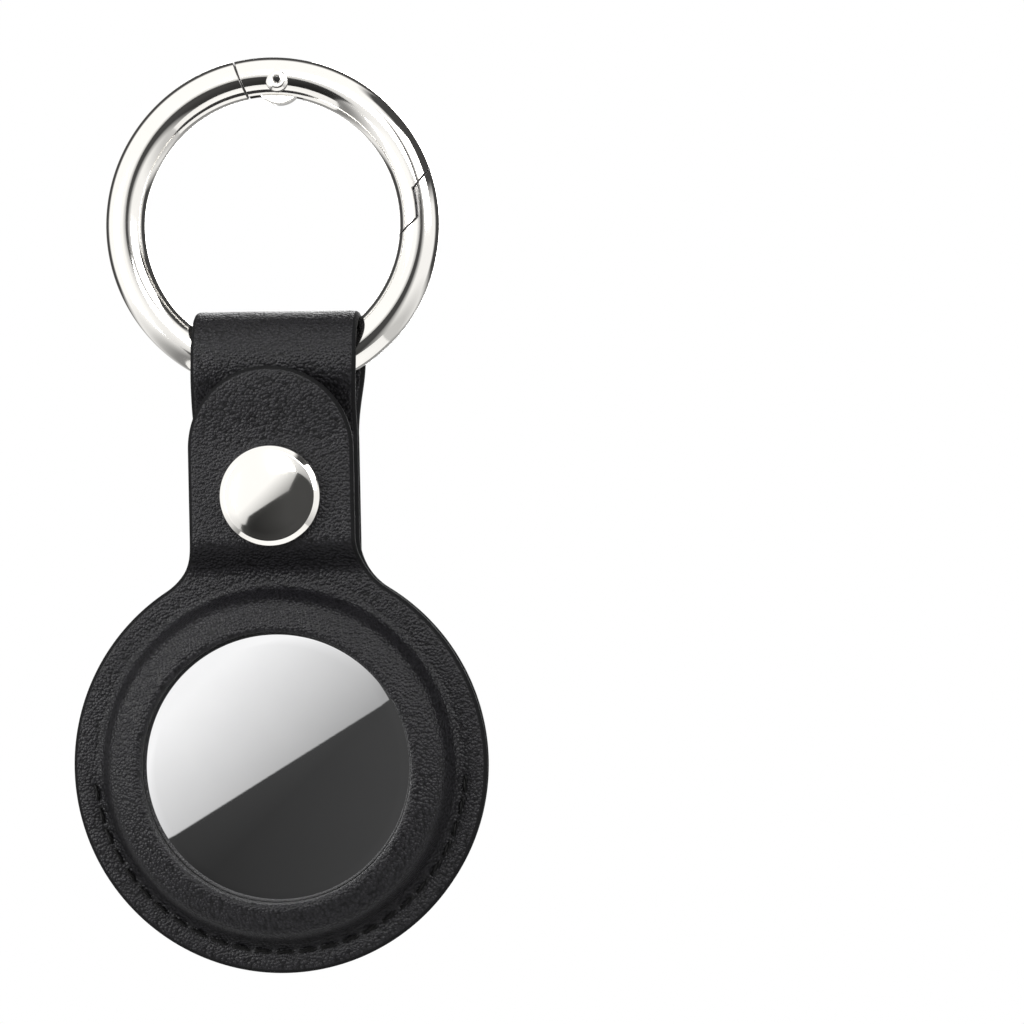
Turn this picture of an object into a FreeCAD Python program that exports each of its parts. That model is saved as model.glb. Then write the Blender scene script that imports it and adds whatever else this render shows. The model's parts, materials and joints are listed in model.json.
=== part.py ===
"""Tracker tag holder: a leather pocket with a snap tongue, hung from a spring-gate ring.

Frame: millimetres, +Z up, origin at the centre of the ring. The ring lies in the XZ plane, the front
of the holder looks along -Y, and the leather hangs below the ring.
"""

import FreeCAD
import Part
import Sketcher

import math
import os
import re

V = FreeCAD.Vector
X_AXIS = V(1, 0, 0)
Y_AXIS = V(0, 1, 0)
Z_AXIS = V(0, 0, 1)

# Driving dimensions, in millimetres and degrees
SIZES = {
    # Spring-gate ring
    "ring_inner_diameter": 25.3,
    "wire_diameter": 4.0,
    "pivot_angle": 86.0,
    "pivot_inset": 0.52,
    "joint_angle": 100.9,
    "joint_slant": 10.3,
    "latch_outer_angle": 18.0,
    "latch_step_top_angle": 12.4,
    "latch_step_bottom_angle": 1.0,
    "latch_inner_angle": -6.6,
    "joint_gap": 0.2,
    "tab_thickness": 1.3,
    "tab_proud": 0.25,
    "tab_flat": 2.0,
    "tab_root": 6.5,
    "slot_side_gap": 0.08,
    "slot_end_gap": 0.5,
    "pin_diameter": 1.6,
    "pin_play": 0.04,
    "pin_head_diameter": 2.3,
    "pin_head_thickness": 0.55,
    "pin_head_proud": 0.12,
    "pin_dimple_diameter": 0.7,
    "pin_dimple_depth": 0.3,
    "spring_bore_depth": 3.0,
    "spring_bore_diameter": 1.2,
    "spring_wire_diameter": 0.22,
    "spring_play": 0.07,
    "spring_end_gap": 0.06,
    # Leather
    "leather": 1.2,
    "lining": 0.25,
    "fold_gap": 0.1,
    "strap_width": 16.2,
    "tunnel_play": 0.12,
    "loop_wedge": 2.85,
    "seam_below_loop": 0.68,
    "seam_above_cap": 1.13,
    "flap_past_hinge": 0.2,
    "flap_corner": 1.6,
    "tongue_top_drop": 0.75,
    "tongue_rest_gap": 0.16,
    "tongue_flat_margin": 0.2,
    "tongue_rise_length": 3.6,
    "hinge_straight": 0.37,
    "tongue_hinge_gap": 0.15,
    "hinge_inside_rim": 2.1,
    "neck_fillet": 6.0,
    "aperture_overlap": 0.55,
    "aperture_bevel": 0.35,
    "crest_flat": 0.6,
    "ridge_drop": 0.6,
    "shoulder_drop": 1.1,
    "pocket_play": 0.5,
    "shoulder_inset": 1.3,
    "seam_from_ridge": 0.73,
    "seam_to_rim": 2.1,
    "lining_flare": 0.22,
    "leather_flare": 0.85,
    "lining_inset": 0.35,
    # Thread
    "seam_start_angle": -176.0,
    "seam_end_angle": -3.0,
    "stitch_pitch": 2.25,
    "stitch_gap": 0.55,
    "thread_diameter": 0.42,
    "strap_seam_margin": 0.9,
    # Snap fastener
    "cap_diameter": 10.0,
    "cap_height": 1.5,
    "cap_round": 0.7,
    "cap_skirt": 0.35,
    "post_diameter": 2.2,
    "post_seat": 1.3,
    "post_play": 0.05,
    "stud_flange": 0.4,
    "stud_flange_width": 2.0,
    "stud_wall": 0.3,
    "stud_head_overhang": 0.35,
    "stud_neck_height": 0.75,
    "stud_head_taper": 0.25,
    "stud_head_height": 0.8,
    "stud_head_room": 0.35,
    "snap_mouth_gap": 0.1,
    "socket_floor": 0.5,
    "socket_bevel": 0.8,
    "socket_play": 0.35,
    "socket_groove_depth": 0.25,
    "socket_rim": 1.65,
    "socket_groove_height": 0.46,
    "socket_lip": 0.14,
    "ring_spring_wire": 0.4,
    "ring_spring_play": 0.25,
    # Tracker tag
    "tag_edge_half_height": 0.4,
    "tag_rim": 2.25,
    "tag_shoulder_offset": 0.45,
    "tag_shoulder_drop": 1.25,
    "tag_edge_round": 2.8,
    "dome_wall": 1.1,
    "dome_inset": 1.65,
    "coil_margin": 0.4,
    "dome_inner_drop": 0.5,
    "tray_play": 0.1,
    "tray_gap": 0.1,
    "cover_play": 0.12,
    "cover_wall": 0.5,
    "cover_edge_round": 1.2,
    "cover_shoulder_inset": 1.15,
    "cover_shoulder_drop": 0.5,
    "cover_edge_drop": 1.4,
    "cover_skirt_depth": 1.55,
    "lip_width": 0.55,
    "bayonet_reach": 0.38,
    "bayonet_lug": 0.3,
    "bayonet_lug_angle": 20.0,
    "bayonet_play": 0.08,
    "seal_thickness": 0.3,
    "battery_diameter": 20.0,
    "battery_thickness": 3.2,
    "battery_step": 0.4,
    "battery_play": 0.3,
    "tray_wall": 2.85,
    "tray_floor": 0.6,
    "contact_thickness": 0.3,
    "contact_length": 4.2,
    "contact_width": 1.6,
    "contact_circle_radius": 6.2,
    "board_thickness": 0.6,
    "board_gap": 0.7,
    "board_inset": 0.75,
    "chip_size": 3.2,
    "chip_height": 0.6,
    "magnet_diameter": 7.6,
    "magnet_height": 1.7,
    "magnet_gap": 0.6,
    "coil_gap": 0.4,
    "coil_wall": 0.6,
    "coil_height": 1.4,
    # Shared by every cutter that runs past a face
    "overrun": 1.0,
}

# Sizes that follow from the driving ones, as formulas
DERIVED = {
    # Ring
    "ring_radius": "(ring_inner_diameter + wire_diameter) / 2",
    "wire_radius": "wire_diameter / 2",
    "pivot_radius": "ring_radius - pivot_inset",
    "tab_radius": "wire_radius + tab_proud",
    "slot_end": "tab_radius + slot_end_gap",
    "spring_bore_end": "slot_end + spring_bore_depth",
    "spring_coil_diameter": "spring_bore_diameter - 2 * spring_play",
    # The strap's tunnel lets the bowed wire turn right round in it
    "bow_cosine": "sqrt(1 - (strap_width / 2 / ring_radius) ^ 2)",
    "tunnel_height": "-ring_radius * (1 + bow_cosine) / 2",
    "tunnel_radius": "ring_radius * (1 - bow_cosine) / 2 + wire_radius / bow_cosine + tunnel_play",
    # Heights, each from the piece above
    "loop_foot_height": "tunnel_height - tunnel_radius - loop_wedge",
    "strap_seam_height": "loop_foot_height - seam_below_loop",
    "snap_height": "strap_seam_height - seam_above_cap - cap_diameter / 2",
    "tongue_top_height": "tunnel_height - tongue_top_drop",
    "lean_start_height": "snap_height + socket_radius + tongue_flat_margin",
    "rise_end_height": "snap_height - socket_radius - tongue_flat_margin",
    "rise_start_height": "rise_end_height - tongue_rise_length",
    "hinge_height": "rise_start_height - hinge_straight",
    "flap_end_height": "hinge_height - flap_past_hinge",
    "disc_height": "hinge_height - (disc_radius - hinge_inside_rim)",
    # Radii, each from the piece inside it
    "tray_radius": "battery_diameter / 2 + battery_play + tray_wall",
    "cover_radius": "tray_radius + tray_gap + cover_wall",
    "aperture_radius": "cover_radius - aperture_overlap",
    "tag_radius": "cover_radius + tag_rim",
    "pocket_radius": "tag_radius + pocket_play",
    "shoulder_radius": "pocket_radius - shoulder_inset",
    "ridge_foot_radius": "pocket_radius + lining_flare + leather_flare",
    "seam_radius": "ridge_foot_radius + seam_from_ridge",
    "disc_radius": "seam_radius + seam_to_rim",
    "lip_radius": "cover_radius + cover_play",
    "groove_radius": "lip_radius + bayonet_reach",
    "tag_shoulder_radius": "cover_radius + tag_shoulder_offset",
    "cover_shoulder_radius": "cover_radius - cover_shoulder_inset",
    "dome_inner_radius": "tray_radius - dome_inset",
    "board_outer_radius": "tray_radius - board_inset",
    "coil_inner_radius": "magnet_diameter / 2 + coil_gap",
    "board_inner_radius": "coil_inner_radius + coil_wall + board_gap",
    "dome_flat_radius": "coil_inner_radius + coil_wall + coil_margin",
    "chip_circle_radius": "(board_inner_radius + board_outer_radius) / 2",
    "stud_neck_radius": "post_diameter / 2 + stud_wall",
    "stud_head_radius": "stud_neck_radius + stud_head_overhang",
    "stud_flange_radius": "stud_neck_radius + stud_flange_width",
    "socket_cavity_radius": "stud_head_radius + socket_play",
    "socket_groove_radius": "socket_cavity_radius + socket_groove_depth",
    "socket_radius": "socket_groove_radius + socket_rim",
    "ring_spring_radius": "stud_neck_radius + ring_spring_play + ring_spring_wire / 2",
    # Depths from the tag's middle plane
    "front_depth": "battery_play + battery_thickness + cover_wall",
    "cover_shoulder_depth": "front_depth - cover_shoulder_drop",
    "cover_edge_depth": "front_depth - cover_edge_drop",
    "floor_back": "contact_thickness - battery_play + tray_floor",
    "board_back": "floor_back + board_thickness",
    "dome_inner": "floor_back + magnet_height + magnet_gap",
    "back_depth": "dome_inner + dome_wall",
    "tag_shoulder_depth": "back_depth - tag_shoulder_drop",
    # Depths in the holder
    "stud_height": "stud_flange + stud_neck_height + stud_head_height",
    "socket_height": "stud_neck_height + stud_head_height + stud_head_room - snap_mouth_gap + socket_floor",
    "strap_back": "leather + fold_gap / 2",
    "strap_front": "-strap_back",
    "middle_depth": "strap_front - lining",
    "tongue_inner": "strap_front - stud_flange - snap_mouth_gap - socket_height",
    "tongue_outer": "tongue_inner - leather",
}

# Counts
CONTACT_COUNT = 3
CHIP_COUNT = 5
BAYONET_LUG_COUNT = 3
SPRING_TURNS = 5

doc = FreeCAD.newDocument("tracker_tag_holder")
sheet = doc.addObject("Spreadsheet::Sheet", "Sizes")
for row, (alias, value) in enumerate(SIZES.items(), start=1):
    sheet.set(f"A{row}", alias)
    sheet.set(f"B{row}", str(value))
    sheet.setAlias(f"B{row}", alias)
doc.recompute()


def any_of(names):
    return re.compile(r"\b(" + "|".join(names) + r")\b")


DERIVED_NAME = any_of(DERIVED)
SIZE_NAME = any_of(SIZES)


def formula(text):
    """Plain size names turned into an expression on the sheet."""
    while DERIVED_NAME.search(text):
        text = DERIVED_NAME.sub(lambda found: f"({DERIVED[found.group(1)]})", text)
    return SIZE_NAME.sub(r"Sizes.\1", text)


def size(text):
    """The value of a size, or of a formula written in size names."""
    return float(sheet.evalExpression(formula(text)))


def bind(obj, **properties):
    """Bind an object's properties to formulas written in size names."""
    for name, text in properties.items():
        obj.setExpression(name.replace("__", "."), formula(text))
    return obj


def place(obj, y="0", z="0"):
    """Put an object on the middle plane of the holder, at a depth and height given as formulas."""
    return bind(obj, Placement__Base__y=y, Placement__Base__z=z)


ring_radius = size("ring_radius")
wire_radius = size("wire_radius")
strap_half = size("strap_width") / 2
leather = size("leather")
overrun = size("overrun")
tunnel_radius = size("tunnel_radius")
tunnel_z = size("tunnel_height")
snap_z = size("snap_height")
hinge_z = size("hinge_height")
disc_z = size("disc_height")
middle_y = size("middle_depth")
strap_front = size("strap_front")
strap_back = size("strap_back")
tongue_inner = size("tongue_inner")
front_leather_inner = middle_y - size("lining")
hinge_y = front_leather_inner - leather / 2


def add_line(sketch, start, end):
    sketch.addGeometry(Part.LineSegment(V(*start, 0), V(*end, 0)))
    return 1, 2


def add_arc(sketch, start, end, radius):
    """An arc from start to end. A positive radius turns left on the way, a negative one right."""
    chord = V(end[0] - start[0], end[1] - start[1], 0)
    middle = V((start[0] + end[0]) / 2, (start[1] + end[1]) / 2, 0)
    left = V(-chord.y, chord.x, 0).normalize()
    reach = math.sqrt(radius**2 - (chord.Length / 2) ** 2)
    centre = middle + left * math.copysign(reach, radius)
    angles = [math.atan2(p[1] - centre.y, p[0] - centre.x) for p in (start, end)]
    first, last = angles if radius > 0 else reversed(angles)
    circle = Part.Circle(centre, Z_AXIS, abs(radius))
    sketch.addGeometry(Part.ArcOfCircle(circle, first, last))
    return (1, 2) if radius > 0 else (2, 1)


def turned(label, profile, y="0", z="0", depth_sign=1):
    """A body turned about the Y axis. Each profile point is (radius, depth), or (radius, depth, round)
    where an arc of that radius leads to the next point. Depth runs to the back, or to the front."""
    body = doc.addObject("PartDesign::Body", label)
    sketch = body.newObject("Sketcher::SketchObject", label + "_profile")
    plane = next(f for f in body.Origin.OriginFeatures if f.Role == "XY_Plane")
    sketch.AttachmentSupport = (plane, [""])
    sketch.MapMode = "FlatFace"
    texts = [(p[0], p[1] if depth_sign > 0 else f"-({p[1]})") for p in profile]
    values = [tuple(size(t) for t in pair) for pair in texts]
    ends = []
    for i, point in enumerate(profile):
        start, end = values[i], values[(i + 1) % len(values)]
        if len(point) == 2:
            ends.append(add_line(sketch, start, end))
        else:
            ends.append(add_arc(sketch, start, end, depth_sign * size(point[2])))
    for i in range(len(profile)):
        following = (i + 1) % len(profile)
        sketch.addConstraint(Sketcher.Constraint("Coincident", i, ends[i][1], following, ends[following][0]))
    for i, point in enumerate(profile):
        for kind, text, value in zip(("DistanceX", "DistanceY"), texts[i], values[i]):
            index = sketch.addConstraint(Sketcher.Constraint(kind, -1, 1, i, ends[i][0], value))
            sketch.setExpression(f"Constraints[{index}]", formula(text))
        if len(point) == 3:
            index = sketch.addConstraint(Sketcher.Constraint("Radius", i, abs(size(point[2]))))
            sketch.setExpression(f"Constraints[{index}]", formula(f"abs({point[2]})"))
    revolution = body.newObject("PartDesign::Revolution", label + "_turn")
    revolution.Profile = sketch
    revolution.ReferenceAxis = (sketch, ["V_Axis"])
    revolution.Angle = 360
    doc.recompute()
    return place(body, y, z)


def formed(label, shape):
    """A piece whose form no primitive or sketch gives, set from a worked-out shape."""
    piece = doc.addObject("Part::Feature", label)
    piece.Shape = shape
    return piece


def joined(kind, label, first, *others):
    """A boolean of document objects: kind is Cut, Common or Fuse."""
    result = first
    for i, other in enumerate(others):
        last = i == len(others) - 1
        step = doc.addObject("Part::" + kind, label if last else f"{label}_{kind.lower()}_{i + 1}")
        step.Base = result
        step.Tool = other
        result = step
    doc.recompute()
    return result


def side_prism(points, half_width):
    """A prism along X through points given as (depth, height)."""
    corners = [V(-half_width, y, z) for y, z in points]
    return Part.Face(Part.makePolygon(corners + corners[:1])).extrude(V(2 * half_width, 0, 0))


def y_cylinder(radius, y_from, y_to, z):
    return Part.makeCylinder(radius, y_to - y_from, V(0, y_from, z), Y_AXIS)


def polar(radius, degrees):
    return radius * math.cos(math.radians(degrees)), radius * math.sin(math.radians(degrees))


# Spring-gate ring


def gate_zone(growth):
    """The part of the XZ plane that the gate takes, from the hinge joint round to the stepped latch."""
    outer = ring_radius + 2 * wire_radius
    inner = ring_radius - 2 * wire_radius
    joint = V(*polar(ring_radius, size("joint_angle")), 0)
    along = V(*polar(1, size("joint_angle") + size("joint_slant")), 0)
    joint_in = joint - along * 2 * wire_radius
    joint_out = joint + along * 2 * wire_radius
    half_way = (size("joint_angle") + size("latch_outer_angle")) / 2
    step_top = polar(ring_radius, size("latch_step_top_angle"))
    step_bottom = polar(ring_radius, size("latch_step_bottom_angle"))
    edge_out = polar(ring_radius + wire_radius, size("latch_outer_angle"))
    edge_in = polar(ring_radius - wire_radius, size("latch_inner_angle"))
    reach = wire_radius
    nose = V(edge_out[0] - step_top[0], edge_out[1] - step_top[1], 0).normalize() * reach
    tip = V(edge_in[0] - step_bottom[0], edge_in[1] - step_bottom[1], 0).normalize() * reach
    outline = [
        (joint_in.x, joint_in.y),
        (joint_out.x, joint_out.y),
        polar(outer / math.cos(math.radians(half_way / 2)), half_way),
        (edge_out[0] + nose.x, edge_out[1] + nose.y),
        step_top,
        step_bottom,
        (edge_in[0] + tip.x, edge_in[1] + tip.y),
        polar(inner / 2, half_way),
    ]
    corners = [V(x, 0, z) for x, z in outline]
    face = Part.Face(Part.makePolygon(corners + corners[:1]))
    grown = face.makeOffset2D(growth, 2)
    grown.translate(V(0, -2 * wire_radius, 0))
    return grown.extrude(V(0, 4 * wire_radius, 0))


pivot_place = polar(size("pivot_radius"), size("pivot_angle"))
pivot = FreeCAD.Placement(
    V(pivot_place[0], 0, pivot_place[1]),
    FreeCAD.Rotation(Y_AXIS, 90 - size("pivot_angle")),
)


def at_pivot(shape):
    """Shapes at the pivot are drawn with X along the gate, Z out of the ring and the pin along Y."""
    shape.Placement = pivot.multiply(shape.Placement)
    return shape


def hinge_tab():
    """The flat tab that the ring's fixed bar carries into the fork of the gate."""
    thickness = size("tab_thickness")
    radius = size("tab_radius")
    eye = y_cylinder(radius, -thickness / 2, thickness / 2, 0)
    flat = Part.makeBox(radius, thickness, 2 * radius, V(size("tab_flat"), -thickness / 2, -radius))
    root = size("tab_root")
    foot = V(-root, -thickness / 2, size("pivot_inset") - wire_radius)
    bar = Part.makeBox(root, thickness, 1.5 * wire_radius, foot)
    rim = y_cylinder(ring_radius + wire_radius, -wire_radius, wire_radius, 0)
    return at_pivot(eye.cut(flat).fuse(bar)).common(rim)


def gate_slot():
    """The slot between the fork's cheeks, open towards the hinge joint."""
    half = size("tab_thickness") / 2 + size("slot_side_gap")
    end = size("slot_end")
    length = size("tab_root") + end
    height = 4 * wire_radius
    return at_pivot(Part.makeBox(length, 2 * half, height, V(-size("tab_root"), -half, -height / 2)))


def spring_bore():
    end = size("spring_bore_end")
    return at_pivot(Part.makeCylinder(size("spring_bore_diameter") / 2, end, V(0, 0, 0), X_AXIS))


def coil_spring():
    """The compression spring between the tab's flat and the end of its bore in the gate."""
    wire = size("spring_wire_diameter") / 2
    radius = size("spring_coil_diameter") / 2 - wire
    start = size("tab_flat") + size("spring_end_gap") + wire
    bore_end = size("spring_bore_end")
    length = bore_end - size("spring_end_gap") - wire - start
    spine = Part.makeHelix(length / SPRING_TURNS, length, radius)
    section = Part.Wire(Part.Circle(V(radius, 0, 0), Y_AXIS, wire).toShape())
    spring = Part.Wire(spine.Edges).makePipeShell([section], True, True)
    spring.Placement = FreeCAD.Placement(V(start, 0, 0), FreeCAD.Rotation(Y_AXIS, 90))
    return at_pivot(spring)


bar_torus = doc.addObject("Part::Torus", "ring_bar")
bind(bar_torus, Radius1="ring_radius", Radius2="wire_radius")
bar_torus.Placement.Rotation = FreeCAD.Rotation(X_AXIS, 90)
gate_torus = doc.addObject("Part::Torus", "gate_bar")
bind(gate_torus, Radius1="ring_radius", Radius2="wire_radius")
gate_torus.Placement.Rotation = FreeCAD.Rotation(X_AXIS, 90)

gate_pin = turned(
    "gate_pin",
    [
        ("0", "-(wire_radius + pin_head_proud - pin_dimple_depth)"),
        ("pin_dimple_diameter / 2", "-(wire_radius + pin_head_proud)"),
        ("pin_head_diameter / 2", "-(wire_radius - pin_head_proud)"),
        ("pin_head_diameter / 2", "-(wire_radius - pin_head_thickness)"),
        ("pin_diameter / 2", "-(wire_radius - pin_head_thickness)"),
        ("pin_diameter / 2", "wire_radius - pin_head_thickness"),
        ("pin_head_diameter / 2", "wire_radius - pin_head_thickness"),
        ("pin_head_diameter / 2", "wire_radius - pin_head_proud"),
        ("pin_dimple_diameter / 2", "wire_radius + pin_head_proud"),
        ("0", "wire_radius + pin_head_proud - pin_dimple_depth"),
    ],
)
bind(
    gate_pin,
    Placement__Base__x="pivot_radius * cos(pivot_angle * 1 deg)",
    Placement__Base__z="pivot_radius * sin(pivot_angle * 1 deg)",
)
pin_hole = doc.addObject("Part::Cylinder", "pin_hole")
bind(pin_hole, Radius="pin_diameter / 2 + pin_play", Height="2 * wire_diameter")
pin_hole.Placement = FreeCAD.Placement(
    pivot.Base - Y_AXIS * size("wire_diameter"), FreeCAD.Rotation(X_AXIS, -90)
)


def head_seats():
    """Room for the pin and its heads in the fork's cheeks."""
    radius = size("pin_head_diameter") / 2
    under = wire_radius - size("pin_head_thickness")
    beyond = 2 * wire_radius
    rooms = [
        y_cylinder(radius, under, beyond, 0),
        y_cylinder(radius, -beyond, -under, 0),
        y_cylinder(size("pin_diameter") / 2, -beyond, beyond, 0),
    ]
    return Part.makeCompound([at_pivot(room) for room in rooms])


head_seat = formed("pin_head_seats", head_seats())
body_cutter = formed("gate_room", gate_zone(size("joint_gap") / 2))
gate_keeper = formed("gate_outline", gate_zone(-size("joint_gap") / 2))
tab = formed("hinge_tab", hinge_tab())
slot = formed("gate_slot", gate_slot())
bore = formed("spring_bore", spring_bore())
open_bar = joined("Cut", "open_bar", bar_torus, body_cutter)
tabbed_bar = joined("Fuse", "tabbed_bar", open_bar, tab)
ring_body = joined("Cut", "ring_body", tabbed_bar, pin_hole)
gate_arc = joined("Common", "gate_arc", gate_torus, gate_keeper)
ring_gate = joined("Cut", "ring_gate", gate_arc, slot, bore, head_seat)
gate_spring = formed("gate_spring", coil_spring())


# Leather panels and linings


def lining_profile(depth):
    """A thin sheet that lies under the leather of a panel. Depth names the tag's depth on that side."""
    rim = "disc_radius - lining_inset"
    return [
        (rim, "0"),
        ("pocket_radius", "0"),
        ("shoulder_radius", f"{depth} - shoulder_drop"),
        ("aperture_radius", f"{depth} - ridge_drop"),
        ("aperture_radius", f"{depth} - ridge_drop + lining"),
        ("shoulder_radius + lining_flare", f"{depth} - shoulder_drop + lining"),
        ("pocket_radius + lining_flare", "lining"),
        (rim, "lining"),
    ]


def leather_profile(depth):
    """A panel: a flat rim, a ridge that rises over the edge of the tag, and the window's edge."""
    crest = f"{depth} - ridge_drop + lining + leather"
    return [
        ("disc_radius", "lining"),
        ("pocket_radius + lining_flare", "lining"),
        ("shoulder_radius + lining_flare", f"{depth} - shoulder_drop + lining"),
        ("aperture_radius", f"{depth} - ridge_drop + lining"),
        ("aperture_radius", f"{crest} - aperture_bevel"),
        ("aperture_radius + aperture_bevel", crest),
        ("aperture_radius + aperture_bevel + crest_flat", crest),
        ("shoulder_radius + lining_flare + leather_flare", f"{depth} - shoulder_drop + lining + leather"),
        ("ridge_foot_radius", "lining + leather"),
        ("disc_radius", "lining + leather"),
    ]


def holder_outline(top_z, rounded):
    """The outline of disc and neck seen from the front: a face in the XZ plane."""
    radius = size("disc_radius")
    fillet = size("neck_fillet")
    fillet_z = disc_z + math.sqrt((radius + fillet) ** 2 - (strap_half + fillet) ** 2)
    share = radius / (radius + fillet)
    touch = V((strap_half + fillet) * share, 0, disc_z + (fillet_z - disc_z) * share)
    centre = V(strap_half + fillet, 0, fillet_z)
    towards = (V(strap_half, 0, fillet_z) + touch) / 2 - centre
    bend = centre + towards.normalize() * fillet

    def mirrored(point):
        return V(-point.x, point.y, point.z)

    neck = V(strap_half, 0, fillet_z)
    corner = V(strap_half, 0, top_z - strap_half if rounded else top_z)
    if rounded:
        head = Part.Arc(corner, V(0, 0, top_z), mirrored(corner)).toShape()
    else:
        head = Part.makeLine(corner, mirrored(corner))
    edges = [
        head,
        Part.makeLine(mirrored(corner), mirrored(neck)),
        Part.Arc(mirrored(neck), mirrored(bend), mirrored(touch)).toShape(),
        Part.Arc(mirrored(touch), V(0, 0, disc_z - radius), touch).toShape(),
        Part.Arc(touch, bend, neck).toShape(),
        Part.makeLine(neck, corner),
    ]
    return Part.Face(Part.Wire(edges))


def deep_prism(face, y_from, y_to):
    moved = face.copy()
    moved.translate(V(0, y_from, 0))
    return moved.extrude(V(0, y_to - y_from, 0))


def tunnel_wedge(radius, foot_z):
    """The part of a tear-drop below its round: the tangents from the round to a point at its foot."""
    reach = tunnel_z - foot_z
    rise = radius**2 / reach
    half = radius * math.sqrt(1 - (radius / reach) ** 2)
    return side_prism([(-half, tunnel_z - rise), (half, tunnel_z - rise), (0, foot_z)], strap_half)


def strap_loop():
    """The folded strap: up the front from the neck, over the ring's wire and down the back as a flap."""
    inner_foot = size("loop_foot_height")
    outer_radius = tunnel_radius + leather
    outer_foot = tunnel_z - (tunnel_z - inner_foot) * outer_radius / tunnel_radius
    flap_end = size("flap_end_height")
    half_gap = size("fold_gap") / 2
    left = V(-strap_half, 0, tunnel_z)
    width = 2 * strap_half
    outside = Part.makeCylinder(outer_radius, width, left, X_AXIS)
    outside = outside.fuse(tunnel_wedge(outer_radius, outer_foot))
    thickness = strap_back - strap_front
    layers = Part.makeBox(width, thickness, tunnel_z - flap_end, V(-strap_half, strap_front, flap_end))
    low_edges = [e for e in layers.Edges if e.BoundBox.ZMax < flap_end + half_gap]
    corner = [e for e in low_edges if e.BoundBox.YLength > half_gap]
    outside = outside.fuse(layers.makeFillet(size("flap_corner"), corner))
    inside = Part.makeCylinder(tunnel_radius, width, left, X_AXIS)
    inside = inside.fuse(tunnel_wedge(tunnel_radius, inner_foot))
    gap_foot = V(-strap_half, -half_gap, flap_end - overrun)
    gap = Part.makeBox(width, 2 * half_gap, tunnel_z - flap_end + overrun, gap_foot)
    return outside.cut(inside.fuse(gap))


def neck_plate():
    """The flat leather between the disc's rim and the strap, with its filleted flanks."""
    plate = deep_prism(holder_outline(snap_z, False), strap_front, strap_front + leather)
    return plate.cut(y_cylinder(size("seam_radius"), strap_front - overrun, strap_back, disc_z))


def post_hole(y_from, y_to):
    radius = size("post_diameter") / 2 + size("post_play")
    return y_cylinder(radius, y_from, y_to, snap_z)


def above_hinge():
    """Everything higher than the gap under the tongue's hinge, to part the tongue from its panel."""
    floor = hinge_z - leather / 2 - size("tongue_hinge_gap")
    radius = size("disc_radius")
    return Part.makeBox(2 * radius, 2 * radius, radius, V(-radius, -radius, floor))


def bent_edge(y_low, z_low, y_high, z_high):
    """A smooth step between two upright runs of leather."""
    lift = (z_high - z_low) / 2
    curve = Part.BezierCurve()
    low_poles = [V(0, y_low, z_low), V(0, y_low, z_low + lift)]
    high_poles = [V(0, y_high, z_high - lift), V(0, y_high, z_high)]
    curve.setPoles(low_poles + high_poles)
    return curve.toShape()


def tongue_side(shift):
    """One face of the tongue in side view: up from the hinge, out over the snap, out over the loop."""
    top = size("tongue_top_height")
    over_loop = -(tunnel_radius + leather + size("tongue_rest_gap"))
    rise_end = size("rise_end_height")
    rise_start = size("rise_start_height")
    lean_start = size("lean_start_height")
    foot = V(0, front_leather_inner, hinge_z)
    edges = [
        Part.makeLine(foot, V(0, front_leather_inner, rise_start)),
        bent_edge(front_leather_inner, rise_start, tongue_inner, rise_end),
        Part.makeLine(V(0, tongue_inner, rise_end), V(0, tongue_inner, lean_start)),
        bent_edge(tongue_inner, lean_start, over_loop, top),
    ]
    side = Part.Wire(edges)
    side.translate(V(-size("disc_radius"), -shift, 0))
    return side


def tongue_strip():
    """The tongue as an endless-width strip of leather, before it is cut to its outline."""
    inner, outer = tongue_side(0), tongue_side(leather)
    ends = [Part.makeLine(inner.Vertexes[i].Point, outer.Vertexes[i].Point) for i in (0, -1)]
    face = Part.Face(Part.Wire(Part.__sortEdges__(inner.Edges + outer.Edges + ends)))
    return face.extrude(V(2 * size("disc_radius"), 0, 0))


def tongue():
    radius = size("disc_radius")
    roll = Part.makeCylinder(leather / 2, 2 * radius, V(-radius, hinge_y, hinge_z), X_AXIS)
    outline = holder_outline(size("tongue_top_height"), True)
    blank = tongue_strip().fuse(roll).common(deep_prism(outline, -radius, radius))
    return blank.cut(post_hole(-radius, 0)).removeSplitter()


rear_disc = turned("rear_disc", leather_profile("back_depth"), "middle_depth", "disc_height")
strap = formed("strap", strap_loop().fuse(neck_plate()))
rear_hole = formed("rear_post_hole", post_hole(strap_front - overrun, strap_back + overrun))
rear_blank = joined("Fuse", "rear_blank", rear_disc, strap)
rear_panel = joined("Cut", "rear_panel", rear_blank, rear_hole)
rear_lining = turned("rear_lining", lining_profile("back_depth"), "middle_depth", "disc_height")

front_disc = turned("front_disc", leather_profile("front_depth"), "middle_depth", "disc_height", -1)
front_parting = formed("front_parting", above_hinge())
front_panel = joined("Cut", "front_panel", front_disc, front_parting)
lining_disc = turned("lining_disc", lining_profile("front_depth"), "middle_depth", "disc_height", -1)
lining_parting = formed("lining_parting", above_hinge())
front_lining = joined("Cut", "front_lining", lining_disc, lining_parting)
front_tongue = formed("front_tongue", tongue())


# Thread


def stitch(start, end, front_y, back_y):
    """One stitch: a bar on each face of the leather, and the leg between them at its first hole."""
    radius = size("thread_diameter") / 2
    run = end - start
    length = run.Length - size("stitch_gap")
    bars = [Part.makeCylinder(radius, length, start + V(0, y, 0), run) for y in (front_y, back_y)]
    leg = Part.makeCylinder(radius, back_y - front_y, start + V(0, front_y, 0), Y_AXIS)
    ends = [Part.makeSphere(radius, start + V(0, y, 0)) for y in (front_y, back_y)]
    return bars[0].multiFuse([bars[1], leg] + ends)


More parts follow.
